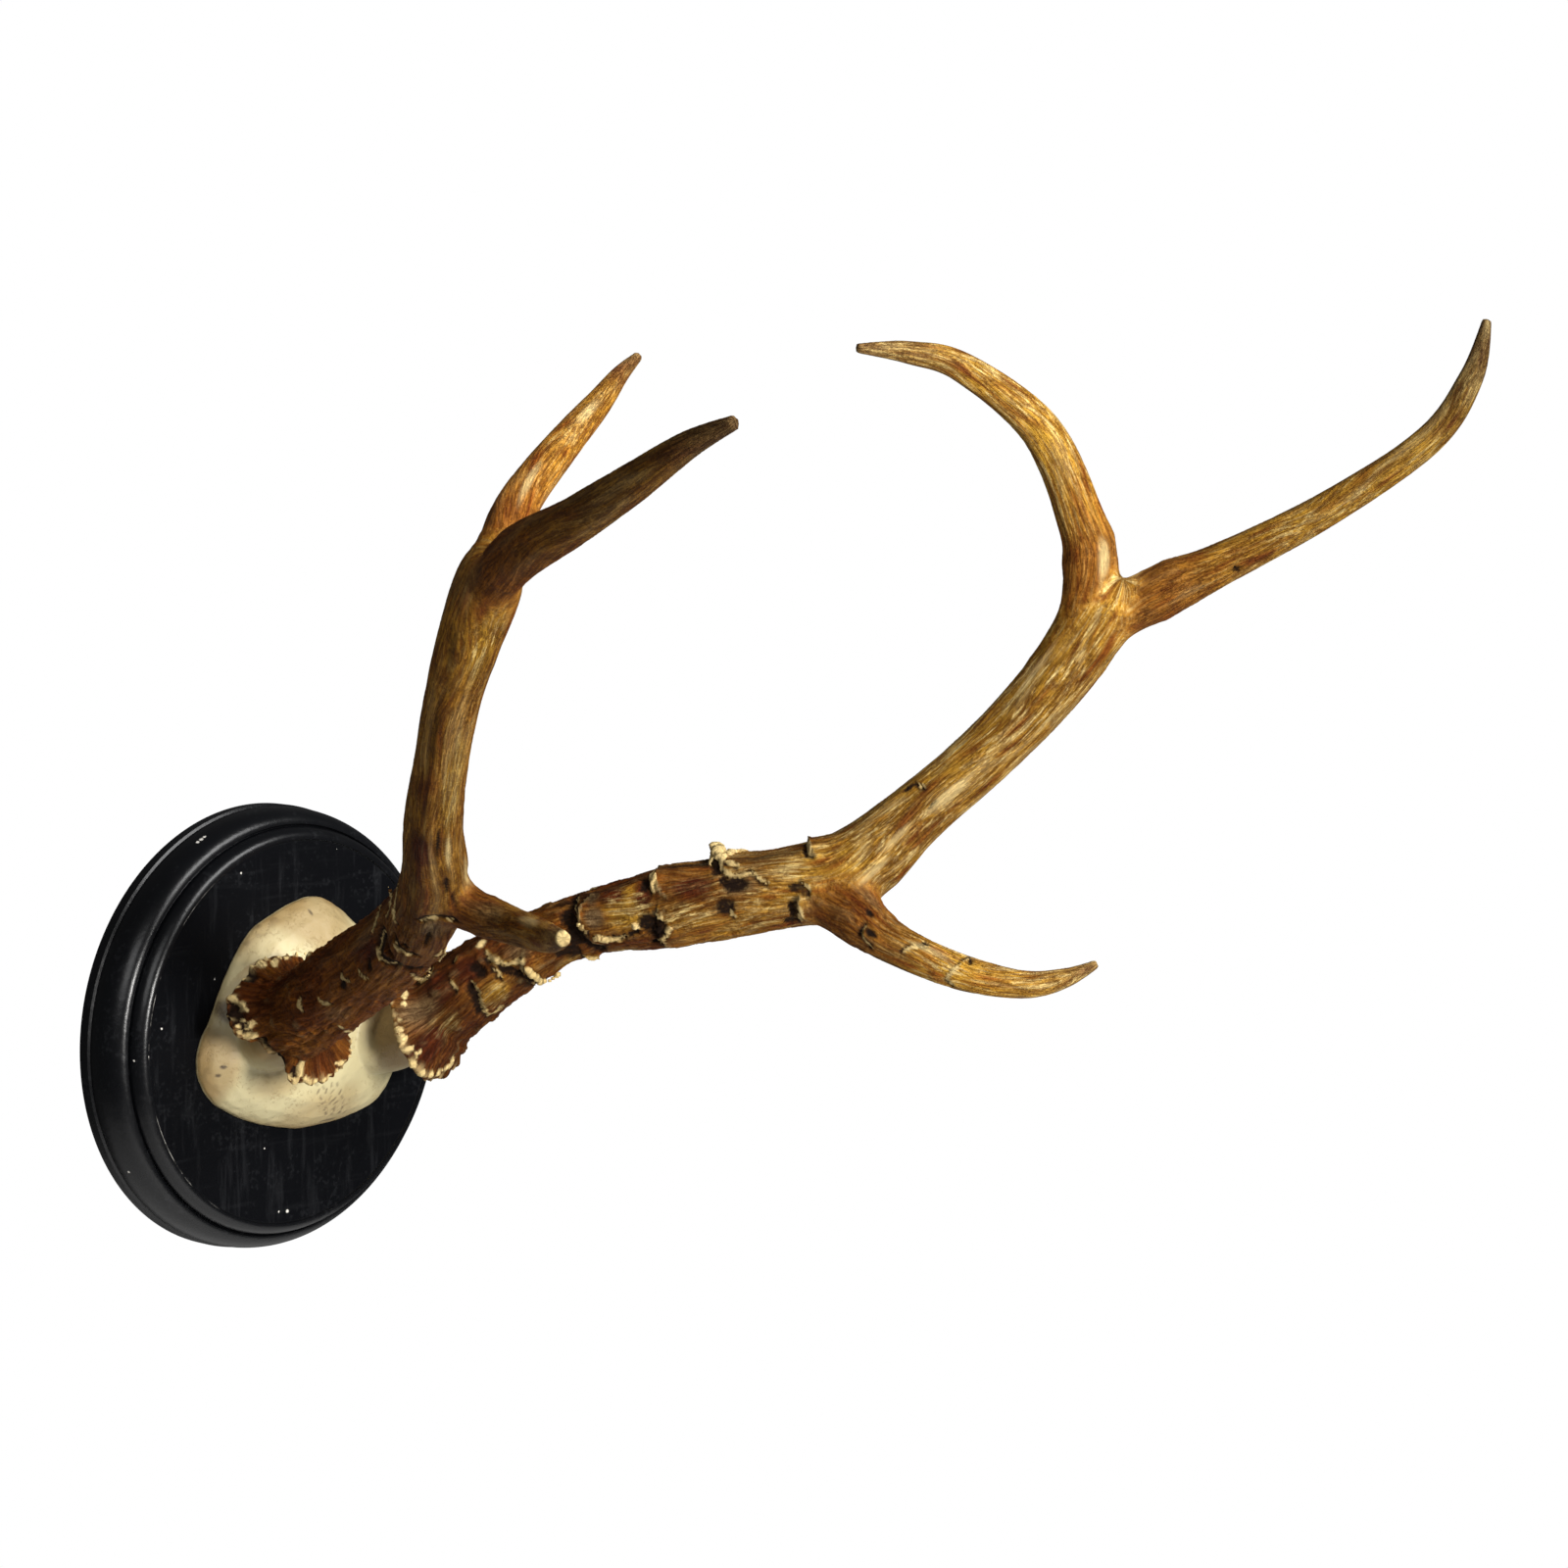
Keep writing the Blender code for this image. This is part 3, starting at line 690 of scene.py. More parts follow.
LEFT_MARKS = Marks(
    rims=(
        RimMark(((235, 1018), (243, 1023), (253, 1031)), 0.0015),
        RimMark(((244, 1040), (251, 1041)), 0.001),
        RimMark(((243, 1047),), 0.0009),
        RimMark(((245, 1053),), 0.0009),
        RimMark(((250, 1050), (260, 1044)), 0.0012),
        RimMark(((249, 1059), (261, 1057)), 0.0013),
        RimMark(((262, 984), (270, 985)), 0.0015),
        RimMark(((280, 979), (281, 986)), 0.0013),
        RimMark(((285, 977),), 0.0009),
        RimMark(((292, 977),), 0.0009),
        RimMark(((300, 976),), 0.0009),
        RimMark(((308, 976),), 0.0009),
        RimMark(((316, 975),), 0.001),
        RimMark(((270, 979),), 0.001),
        RimMark(((254, 988),), 0.0011),
        RimMark(((246, 998),), 0.001),
        RimMark(((242, 1007),), 0.001),
        RimMark(((309, 1083), (306, 1090), (307, 1097)), 0.0016),
        RimMark(((295, 1099),), 0.0012),
        RimMark(((302, 1102),), 0.001),
        RimMark(((311, 1099), (316, 1106)), 0.0012),
        RimMark(((322, 1103),), 0.001),
        RimMark(((329, 1101),), 0.001),
        RimMark(((336, 1098),), 0.0009),
        RimMark(((343, 1085), (353, 1083)), 0.001),
        RimMark(((344, 1093),), 0.0009),
        RimMark(((352, 1051), (358, 1053)), 0.001),
        RimMark(((358, 1062),), 0.0008),
        RimMark(((359, 1071),), 0.0008),
        RimMark(((357, 1079),), 0.0008),
        RimMark(((348, 1048),), 0.0008),
        RimMark(((306, 1020), (305, 1026), (309, 1031)), 0.0013, 0.0014),
        RimMark(((325, 1019), (330, 1024), (337, 1025)), 0.0009, 0.0012),
        RimMark(((347, 994), (350, 999), (355, 1001)), 0.0009, 0.0012),
        RimMark(((365, 991), (368, 997), (374, 999)), 0.0009, 0.0012),
        RimMark(((389, 950), (386, 960), (384, 970), (386, 977), (393, 983), (404, 986)), 0.0009, 0.003),
        RimMark(((402, 960), (404, 966), (410, 972), (420, 976)), 0.00095, 0.0025),
        RimMark(((428, 941), (440, 938), (452, 937), (462, 940)), 0.00095, 0.002),
        RimMark(((447, 984), (455, 975), (457, 966)), 0.001, 0.0014),
        RimMark(((444, 978), (451, 970)), 0.00095, 0.0014),
        RimMark(((420, 995), (425, 999), (432, 1000), (438, 996), (441, 988)), 0.00095, 0.0014),
        RimMark(((396, 905), (398, 920), (394, 935)), 0.00095, 0.0014),
        RimMark(((403, 900), (404, 915), (401, 930), (404, 942)), 0.00095, 0.0014),
        RimMark(((388, 925), (384, 938), (380, 950)), 0.00095, 0.0014),
    ),
    pits=(
        PitMark((236, 1032), 0.003, 0.003, 0.0015),
        PitMark((248, 1050), 0.0015, 0.0025, 0.001),
        PitMark((254, 995), 0.0025, 0.002, 0.0008),
        PitMark((270, 1066), 0.002, 0.004, 0.0012),
        PitMark((285, 1082), 0.002, 0.004, 0.0015),
        PitMark((300, 1097), 0.0015, 0.0015, 0.001),
        PitMark((396, 970), 0.0024, 0.003, 0.0018),
        PitMark((412, 966), 0.0018, 0.0018, 0.001),
        PitMark((430, 990), 0.003, 0.003, 0.0015),
        PitMark((418, 990), 0.003, 0.002, 0.0012),
        PitMark((436, 960), 0.005, 0.001, 0.0008),
        PitMark((350, 1005), 0.003, 0.002, 0.0006),
        PitMark((375, 985), 0.003, 0.0025, 0.0008),
        PitMark((456, 905), 0.0045, 0.001, 0.0007),
        PitMark((463, 921), 0.004, 0.001, 0.0007),
        PitMark((447, 862), 0.007, 0.0009, 0.0005),
    ),
    # the near-black patches are painted shade
    patches=(
        PatchMark(Hue.RED, (430, 870), 0.01, 0.007, 0.9),
        PatchMark(Hue.GOLD, (462, 800), 0.022, 0.004, 1.0),
        PatchMark(Hue.PALE, (457, 870), 0.01, 0.001, 0.8),
        PatchMark(Hue.GOLD, (500, 650), 0.02, 0.005, 0.9),
        PatchMark(Hue.DARK, (440, 760), 0.02, 0.0016, 0.4),
        PatchMark(Hue.GREY, (500, 930), 0.012, 0.005, 0.6),
        PatchMark(Hue.PALE, (476, 890), 0.01, 0.0022, 0.5),
        PatchMark(Hue.RED, (370, 970), 0.016, 0.006, 0.8),
        PatchMark(Hue.GREY, (440, 950), 0.008, 0.005, 0.9),
        PatchMark(Hue.GREY, (345, 1035), 0.012, 0.005, 0.5),
        PatchMark(Hue.PALE, (540, 940), 0.01, 0.0025, 0.5),
        PatchMark(Hue.PALE, (575, 952), 0.003, 0.003, 1.0),
        PatchMark(Hue.GREY, (480, 590), 0.012, 0.004, 0.5),
        PatchMark(Hue.DARK, (462, 660), 0.01, 0.0016, 0.6),
        PatchMark(Hue.PALE, (600, 420), 0.01, 0.002, 0.7),
        PatchMark(Hue.PALE, (540, 490), 0.01, 0.0016, 0.6),
    ),
)


class Tracer:
    """Finds where the pixels picked on the photograph lie along and round an antler's branches.

    REACHES holds how far from the camera a ray is searched that passes beside the solid.
    """

    REACHES = np.linspace(0.9, 1.7, 800)

    def __init__(self, side: Side, branches: tuple) -> None:
        """Make the solid antler ready for rays from the photograph's camera.

        Args:
            side: the antler that is meant.
            branches: its beam and tines.
        """
        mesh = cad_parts[f"{side.name.lower()}_antler"].data
        corners = [vertex.co.copy() for vertex in mesh.vertices]
        self.solid = BVHTree.FromPolygons(corners, [tuple(face.vertices) for face in mesh.polygons])
        self.pose = bpy.context.scene.camera.matrix_world.copy()
        self.branches = branches
        self.lines = [CentreLine(branch, side) for branch in branches]

    def find(self, pixel: tuple) -> np.ndarray:
        """Give the point of the solid under a pixel, or the point of the pixel's ray nearest to it."""
        across, down = pixel
        way = Vector(((across - PHOTO_MIDDLE) / PHOTO_FOCAL, -(down - PHOTO_MIDDLE) / PHOTO_FOCAL, -1.0))
        way = (self.pose.to_3x3() @ way).normalized()
        place = self.solid.ray_cast(self.pose.translation, way)[0]
        if place is not None:
            return np.array(place)
        beside = [self.pose.translation + way * reach for reach in self.REACHES]
        gaps = [self.solid.find_nearest(point)[3] for point in beside]
        return np.array(beside[int(np.argmin(gaps))])

    def follow(self, pixels: tuple) -> tuple:
        """Place pixels on the branch whose surface is nearest to the first of them.

        Args:
            pixels: the pixels, one or more.

        Returns:
            The branch's number, and for each pixel the share along the branch, the angle round it
            in degrees and the share of its radius.
        """
        points = [self.find(pixel) for pixel in pixels]
        gaps = [abs(line.locate(points[0][None, :])[2][0] - 1.0) for line in self.lines]
        number = int(np.argmin(gaps))
        line = self.lines[number]
        spots = []
        for point in points:
            index, turn, _ = line.locate(point[None, :])
            middle = line.points[index[0]]
            skin = line.ring(int(index[0]), turn)[0]
            grow = round(float(np.linalg.norm(point - middle) / np.linalg.norm(skin - middle)), 2)
            angle = round(math.degrees(turn[0]))
            while spots and angle - spots[-1][1] > 180:
                angle -= 360
            while spots and angle - spots[-1][1] < -180:
                angle += 360
            spots.append((round(float(line.share[index[0]]), 4), angle, grow))
        return number, tuple(spots)

    def dress(self, marks: Marks) -> tuple:
        """Put what was picked on the photograph on the branches.

        Args:
            marks: what was picked.

        Returns:
            The branches in their order, each with its lips, pits and patches.
        """
        lips, pits, patches = ([[] for _ in self.branches] for _ in range(3))
        for mark in marks.rims:
            number, spots = self.follow(mark.pixels)
            lips[number].append(Lip(spots, mark.thick, mark.hollow))
        for mark in (*marks.pits, *(pit for void in marks.voids for pit in void.pits())):
            number, ((along, angle, _),) = self.follow((mark.pixel,))
            pits[number].append(Pit(along, angle, mark.half_length, mark.half_width, mark.depth))
        for mark in marks.patches:
            number, ((along, angle, _),) = self.follow((mark.pixel,))
            sizes = (mark.half_length, mark.half_width, mark.amount)
            patches[number].append(Patch(mark.hue, along, angle, *sizes))
        return tuple(
            replace(branch, lips=tuple(own[0]), pits=tuple(own[1]), patches=(*own[2], *branch.patches))
            for branch, own in zip(self.branches, zip(lips, pits, patches))
        )


class Graph:
    """A shader tree that is put together by short calls."""

    def __init__(self, tree: bpy.types.NodeTree) -> None:
        """Take the tree that the calls add to."""
        self.tree = tree

    def add(self, kind: str, label: str, **settings: object) -> bpy.types.Node:
        """Add a node.

        Args:
            kind: the node's type name.
            label: what it is for.
            settings: attributes to set on it.

        Returns:
            The node.
        """
        node = self.tree.nodes.new(kind)
        node.label = label
        for key, value in settings.items():
            setattr(node, key, value)
        return node

    def feed(self, socket: bpy.types.NodeSocket, value: object) -> None:
        """Link a socket, or give it a plain value."""
        if isinstance(value, bpy.types.NodeSocket):
            self.tree.links.new(value, socket)
        elif isinstance(value, tuple) and len(value) == 3 and socket.type == "RGBA":
            socket.default_value = (*value, 1.0)
        else:
            socket.default_value = value

    def math(self, work: str, first: object, second: object = 0.0) -> bpy.types.NodeSocket:
        """Add a Math node and give its result."""
        node = self.add("ShaderNodeMath", work.lower(), operation=work)
        self.feed(node.inputs[0], first)
        self.feed(node.inputs[1], second)
        return node.outputs[0]

    def mix(self, share: object, first: object, second: object, blend: str = "MIX") -> bpy.types.NodeSocket:
        """Mix two colours by a share and give the result."""
        node = self.add("ShaderNodeMix", blend.lower(), data_type="RGBA", blend_type=blend)
        self.feed(node.inputs[0], share)
        self.feed(node.inputs[6], first)
        self.feed(node.inputs[7], second)
        return node.outputs[2]

    def span(
        self, value: object, low: float, high: float, start: float = 0.0, end: float = 1.0
    ) -> bpy.types.NodeSocket:
        """Ease a value from start at low to end at high and give the result."""
        node = self.add("ShaderNodeMapRange", "ease", interpolation_type="SMOOTHSTEP")
        for socket, number in zip(node.inputs[1:5], (low, high, start, end)):
            socket.default_value = number
        self.feed(node.inputs[0], value)
        return node.outputs[0]

    def noise(
        self, vector: object, scale: float, detail: float = 4.0, rough: float = 0.55
    ) -> bpy.types.NodeSocket:
        """Add a Noise Texture and give its value."""
        node = self.add("ShaderNodeTexNoise", "noise")
        self.feed(node.inputs["Vector"], vector)
        self.feed(node.inputs["Scale"], scale)
        self.feed(node.inputs["Detail"], detail)
        self.feed(node.inputs["Roughness"], rough)
        return node.outputs["Fac"]

    def place(self) -> bpy.types.NodeSocket:
        """Give the Object coordinates."""
        return self.add("ShaderNodeTexCoord", "place").outputs["Object"]

    def mask(self, name: str, part: str = "Fac") -> bpy.types.NodeSocket:
        """Give a named attribute of the mesh."""
        return self.add("ShaderNodeAttribute", name, attribute_name=name).outputs[part]

    def scaled(self, colour: object, factor: object) -> bpy.types.NodeSocket:
        """Multiply a colour by a number and give the result."""
        node = self.add("ShaderNodeVectorMath", "lighten", operation="SCALE")
        self.feed(node.inputs[0], colour)
        self.feed(node.inputs["Scale"], factor)
        return node.outputs[0]

    def bump(self, height: object, depth: float, normal: object = None) -> bpy.types.NodeSocket:
        """Add a Bump node of a depth in metres and give its normal."""
        node = self.add("ShaderNodeBump", "bump")
        node.inputs["Strength"].default_value = 1.0
        node.inputs["Distance"].default_value = depth
        self.feed(node.inputs["Height"], height)
        if normal is not None:
            self.feed(node.inputs["Normal"], normal)
        return node.outputs["Normal"]

    def group(self, tree: bpy.types.NodeTree, **values: object) -> bpy.types.Node:
        """Place a node group with its inputs set.

        Args:
            tree: the group.
            values: its inputs by name, with _ for a space.

        Returns:
            The group's node.
        """
        node = self.add("ShaderNodeGroup", tree.name, node_tree=tree)
        for name, value in values.items():
            self.feed(node.inputs[name.replace("_", " ").capitalize()], value)
        return node


def new_group(name: str, inputs: dict, outputs: tuple) -> tuple:
    """Start a shader node group with named number and vector sockets.

    Args:
        name: the group's name.
        inputs: each input's name with its default number, or None for a vector.
        outputs: the names of the number outputs.

    Returns:
        The group's tree, its Graph, its input node and its output node.
    """
    tree = bpy.data.node_groups.new(name, "ShaderNodeTree")
    for key, value in inputs.items():
        kind = "NodeSocketVector" if value is None else "NodeSocketFloat"
        socket = tree.interface.new_socket(key, in_out="INPUT", socket_type=kind)
        if value is not None:
            socket.default_value = value
    for key in outputs:
        tree.interface.new_socket(key, in_out="OUTPUT", socket_type="NodeSocketFloat")
    return tree, Graph(tree), tree.nodes.new("NodeGroupInput"), tree.nodes.new("NodeGroupOutput")


def new_material(name: str) -> tuple:
    """Start a material.

    Args:
        name: the material's name.

    Returns:
        The material, its Graph and its Principled shader.
    """
    material = bpy.data.materials.new(name)
    material.use_nodes = True
    return material, Graph(material.node_tree), material.node_tree.nodes["Principled BSDF"]


def make_speckle_group() -> bpy.types.NodeTree:
    """Build the group that scatters small irregular specks.

    Returns:
        The group, with the inputs Vector, Scale and Cover and the output Mask.
    """
    inputs = {"Vector": None, "Scale": 400.0, "Cover": 0.5}
    tree, graph, given, out = new_group("fine_specks", inputs, ("Mask",))
    fine = graph.add("ShaderNodeTexNoise", "specks")
    fine.inputs["Detail"].default_value = 3.0
    fine.inputs["Roughness"].default_value = 0.6
    broad = graph.add("ShaderNodeTexNoise", "where they gather")
    broad.inputs["Detail"].default_value = 2.0
    graph.feed(fine.inputs["Vector"], given.outputs["Vector"])
    graph.feed(fine.inputs["Scale"], given.outputs["Scale"])
    graph.feed(broad.inputs["Vector"], given.outputs["Vector"])
    graph.feed(broad.inputs["Scale"], graph.math("MULTIPLY", given.outputs["Scale"], 0.12))
    gathered = graph.math("MULTIPLY", graph.span(broad.outputs["Fac"], 0.35, 0.65), 0.18)
    level = graph.math("SUBTRACT", graph.math("SUBTRACT", 1.0, given.outputs["Cover"]), gathered)
    above = graph.math("MULTIPLY", graph.math("SUBTRACT", fine.outputs["Fac"], level), 12.0)
    node = graph.add("ShaderNodeClamp", "mask")
    graph.feed(node.inputs[0], above)
    graph.feed(out.inputs["Mask"], node.outputs[0])
    return tree


@dataclass(frozen=True)
class AntlerFinish:
    """Dull brown antler with golden wear, pale pearls, painted shade in its hollows and grey speckled tips.
    """

    brown: tuple = (0.210, 0.060, 0.006)
    gold: tuple = (0.455, 0.245, 0.026)
    straw: tuple = (0.620, 0.460, 0.180)
    red: tuple = (0.095, 0.018, 0.002)
    grey: tuple = (0.200, 0.125, 0.055)
    # painted shade, the near-black that is laid where the surface is sunk
    dark: tuple = (0.012, 0.005, 0.002)
    pale: tuple = (0.720, 0.540, 0.240)
    streak_tint: tuple = (0.36, 0.20, 0.09)
    thread_tint: tuple = (0.40, 0.26, 0.14)
    speckle_tint: tuple = (0.30, 0.19, 0.10)
    streak_share: float = 0.70
    thread_share: float = 0.35
    speckle_share: float = 0.42
    roughness: float = 0.48
    relief_depth: float = 0.00045

    def material(self, specks: bpy.types.NodeTree) -> bpy.types.Material:
        """Build the antler material.

        Args:
            specks: the group of small specks.

        Returns:
            The material.
        """
        material, graph, shader = new_material("antler_finish")
        place = graph.place()
        grain = graph.mask("grain", "Vector")
        sure = graph.mask("sure")
        unsure = graph.math("SUBTRACT", 1.0, sure)
        mottle = graph.math("MULTIPLY", graph.span(graph.noise(place, 240.0, 7.0, 0.72), 0.46, 0.62), unsure)
        streaks = graph.math("MULTIPLY", graph.span(graph.noise(grain, 1.5, 6.0, 0.70), 0.47, 0.60), sure)
        streaks = graph.math("ADD", streaks, mottle)
        threads = graph.math("MULTIPLY", graph.span(graph.noise(grain, 3.6, 4.0, 0.65), 0.49, 0.60), sure)
        light = graph.span(graph.noise(grain, 0.8, 7.0, 0.72), 0.47, 0.62)
        golden = graph.math("POWER", graph.mask("gold"), 2.0)
        light = graph.math("MULTIPLY", graph.math("MULTIPLY", light, graph.mask("tone")), golden)
        fine = graph.noise(place, 700.0, 4.0)
        colour = graph.mix(graph.mask("gold"), self.brown, self.gold)
        colour = graph.mix(graph.mask("red"), colour, self.red)
        colour = graph.mix(graph.mask("grey"), colour, self.grey)
        colour = graph.mix(light, colour, self.straw)
        share = graph.math("MULTIPLY", streaks, self.streak_share)
        colour = graph.mix(share, colour, self.streak_tint, "MULTIPLY")
        share = graph.math("MULTIPLY", threads, self.thread_share)
        colour = graph.mix(share, colour, self.thread_tint, "MULTIPLY")
        colour = graph.scaled(colour, graph.mask("tone"))
        speckled = graph.group(specks, vector=place, scale=900.0, cover=0.44).outputs["Mask"]
        share = graph.math("MULTIPLY", speckled, self.speckle_share)
        colour = graph.mix(share, colour, self.speckle_tint, "MULTIPLY")
        # painted shade: the near-black goes where the shade mask says, broken up a little by noise
        edge = graph.math("MULTIPLY", graph.mask("dark"), graph.span(fine, 0.2, 0.5, 0.75, 1.0))
        colour = graph.mix(edge, colour, self.dark)
        worn = graph.math("MULTIPLY", graph.mask("pale"), graph.span(fine, 0.25, 0.5, 0.7, 1.0))
        colour = graph.mix(worn, colour, self.pale)
        graph.feed(shader.inputs["Base Color"], colour)
        rough = graph.math("ADD", graph.math("MULTIPLY", graph.mask("dark"), 0.25), self.roughness)
        graph.feed(shader.inputs["Roughness"], graph.math("ADD", rough, graph.math("MULTIPLY", fine, 0.12)))
        shader.inputs["Specular IOR Level"].default_value = 0.10
        relief = graph.math("ADD", graph.math("MULTIPLY", streaks, -0.6), graph.math("MULTIPLY", fine, 0.35))
        relief = graph.math("ADD", relief, graph.math("MULTIPLY", threads, -0.30))
        relief = graph.math("ADD", relief, graph.math("MULTIPLY", speckled, -0.15))
        graph.feed(shader.inputs["Normal"], graph.bump(relief, self.relief_depth))
        return material


@dataclass(frozen=True)
class BoneFinish:
    """Bleached bone, ivory on the dome and tan towards its edges and in stains, with faint scratches and
    specks, and painted shade under the burrs, in one hollow and in one patch.
    """

    ivory: tuple = (0.475, 0.415, 0.232)
    # tan for stains and edges, also used for painted shade under the burrs and in one patch
    tan: tuple = (0.270, 0.180, 0.070)
    # scratches and specks, also used for painted shade in the hollow under the left burr
    grime_and_shade: tuple = (0.060, 0.038, 0.018)
    cloud_tint: tuple = (0.44, 0.34, 0.15)
    cloud_share: float = 0.40
    dot_share: float = 0.35
    roughness: float = 0.5
    relief_depth: float = 0.0002

    def material(self, specks: bpy.types.NodeTree) -> bpy.types.Material:
        """Build the bone material.

        Args:
            specks: the group of small specks.

        Returns:
            The material.
        """
        material, graph, shader = new_material("bone_finish")
        place = graph.place()
        cloud = graph.span(graph.noise(place, 45.0, 5.0, 0.6), 0.45, 0.75)
        colour = graph.mix(graph.math("MULTIPLY", cloud, self.cloud_share), self.ivory, self.cloud_tint)
        # tan stains and edges, with painted shade under the burrs and in one patch
        colour = graph.mix(graph.mask("tan"), colour, self.tan)
        dots = graph.group(specks, vector=place, scale=900.0, cover=0.30).outputs["Mask"]
        colour = graph.mix(graph.math("MULTIPLY", dots, self.dot_share), colour, self.tan)
        # scratches, specks and darkening towards the base, with painted shade in one hollow
        colour = graph.mix(graph.mask("grime_and_shade"), colour, self.grime_and_shade)
        graph.feed(shader.inputs["Base Color"], colour)
        fine = graph.noise(place, 420.0, 5.0, 0.6)
        rough = graph.span(fine, 0.2, 0.8, self.roughness - 0.08, self.roughness + 0.12)
        graph.feed(shader.inputs["Roughness"], rough)
        relief = graph.math("ADD", fine, graph.math("MULTIPLY", dots, -0.5))
        graph.feed(shader.inputs["Normal"], graph.bump(relief, self.relief_depth))
        return material


@dataclass(frozen=True)
class ChipOrGlint:
    """A small pale spot on the lacquer by its angle, its radius, its height and its half width; most are
    chips, and three side by side paint a highlight.
    """

    angle: float
    radius: float
    height: float
    half_width: float


@dataclass(frozen=True)
class LacquerFinish:
    """Ebonised wood under worn black lacquer, glossier on its mouldings than on its field, with a painted
    highlight on its roll.
    """

    black: tuple = (0.0018, 0.0020, 0.0027)
    scuff: tuple = (0.040, 0.042, 0.046)
    bare_wood_and_glint: tuple = (0.750, 0.720, 0.660)
    gloss: float = 0.29
    field_radius: float = 0.0729
    upright_cells: tuple = (260.0, 260.0, 30.0)
    level_cells: tuple = (24.0, 300.0, 300.0)
    scuff_share: float = 0.11
    dust_share: float = 0.10
    chip_and_glint_share: float = 0.75
    relief_depth: float = 0.00012
    chips_and_glint: tuple = (
        ChipOrGlint(73, 0.0710, 0.0246, 0.0004),
        ChipOrGlint(114, 0.0690, 0.0246, 0.0007),
        ChipOrGlint(149, 0.0480, 0.0246, 0.0006),
        ChipOrGlint(172, 0.0673, 0.0246, 0.0006),
        ChipOrGlint(180, 0.0732, 0.0252, 0.0006),
        ChipOrGlint(-179, 0.0772, 0.0217, 0.0006),
        ChipOrGlint(-111, 0.0455, 0.0246, 0.0005),
        ChipOrGlint(-148, 0.0841, 0.0117, 0.0009),
        ChipOrGlint(-97.5, 0.0684, 0.0246, 0.0006),
        ChipOrGlint(-93.8, 0.0686, 0.0246, 0.0011),
        # these three side by side are a painted highlight on the roll, not chips
        ChipOrGlint(115.0, 0.0839, 0.0130, 0.0011),
        ChipOrGlint(116.3, 0.0839, 0.0130, 0.0013),
        ChipOrGlint(117.6, 0.0839, 0.0130, 0.0011),
    )

    def material(self, specks: bpy.types.NodeTree) -> bpy.types.Material:
        """Build the lacquer material.

        Args:
            specks: the group of small specks.

        Returns:
            The material.
        """
        material, graph, shader = new_material("lacquer_finish")
        place = graph.place()
        split = graph.add("ShaderNodeSeparateXYZ", "across and up")
        graph.feed(split.inputs[0], place)
        across = graph.math("MULTIPLY", split.outputs["X"], split.outputs["X"])
        up = graph.math("MULTIPLY", split.outputs["Z"], split.outputs["Z"])
        radius = graph.math("SQRT", graph.math("ADD", across, up))
        on_field = graph.span(radius, self.field_radius - 0.0006, self.field_radius - 0.0002, 1.0, 0.0)
        stretch = graph.add("ShaderNodeMapping", "upright scuffs")
        stretch.inputs["Scale"].default_value = self.upright_cells
        graph.feed(stretch.inputs["Vector"], place)
        upright = graph.span(graph.noise(stretch.outputs[0], 1.0, 5.0, 0.65), 0.52, 0.72)
        level = graph.add("ShaderNodeMapping", "level scuffs")
        level.inputs["Scale"].default_value = self.level_cells
        graph.feed(level.inputs["Vector"], place)
        flat = graph.span(graph.noise(level.outputs[0], 1.0, 5.0, 0.65), 0.55, 0.78)
        crossed = graph.math("ADD", upright, graph.math("MULTIPLY", flat, 0.7))
        scuffs = graph.math("MULTIPLY", crossed, on_field)
        colour = graph.mix(graph.math("MULTIPLY", scuffs, self.scuff_share), self.black, self.scuff)
        dust = graph.group(specks, vector=place, scale=500.0, cover=0.30).outputs["Mask"]
        colour = graph.mix(graph.math("MULTIPLY", dust, self.dust_share), colour, self.scuff)
        ring = graph.math("ABSOLUTE", graph.math("SUBTRACT", radius, self.field_radius + 0.0002))
        line = graph.span(ring, 0.00015, 0.0004, 1.0, 0.0)
        broken = graph.span(graph.noise(place, 90.0, 4.0, 0.7), 0.50, 0.66, 0.0, 0.45)
        broken = graph.math("MULTIPLY", broken, graph.span(split.outputs["X"], -0.035, -0.060))
        colour = graph.mix(graph.math("MULTIPLY", line, broken), colour, self.bare_wood_and_glint)
        # chips show bare wood, and the three spots on the roll paint a highlight in the same pale colour
        chipped_and_glint = self.chips_and_glint_mask(graph, place)
        colour = graph.mix(graph.math("MULTIPLY", chipped_and_glint, self.chip_and_glint_share), colour, self.bare_wood_and_glint)
        graph.feed(shader.inputs["Base Color"], colour)
        dull = graph.math("MULTIPLY", on_field, 0.18)
        wear = graph.math("MULTIPLY", graph.noise(place, 120.0, 5.0, 0.6), 0.14)
        rough = graph.math("ADD", graph.math("ADD", dull, wear), self.gloss - 0.07)
        rough = graph.math("ADD", rough, graph.math("MULTIPLY", scuffs, 0.12))
        graph.feed(shader.inputs["Roughness"], graph.math("ADD", rough, graph.math("MULTIPLY", chipped_and_glint, 0.4)))
        shine = graph.math("SUBTRACT", 0.36, graph.math("MULTIPLY", on_field, 0.30))
        graph.feed(shader.inputs["Specular IOR Level"], shine)
        relief = graph.math("ADD", graph.noise(place, 260.0, 4.0, 0.6), graph.math("MULTIPLY", scuffs, -0.5))
        graph.feed(shader.inputs["Normal"], graph.bump(relief, self.relief_depth))
        return material

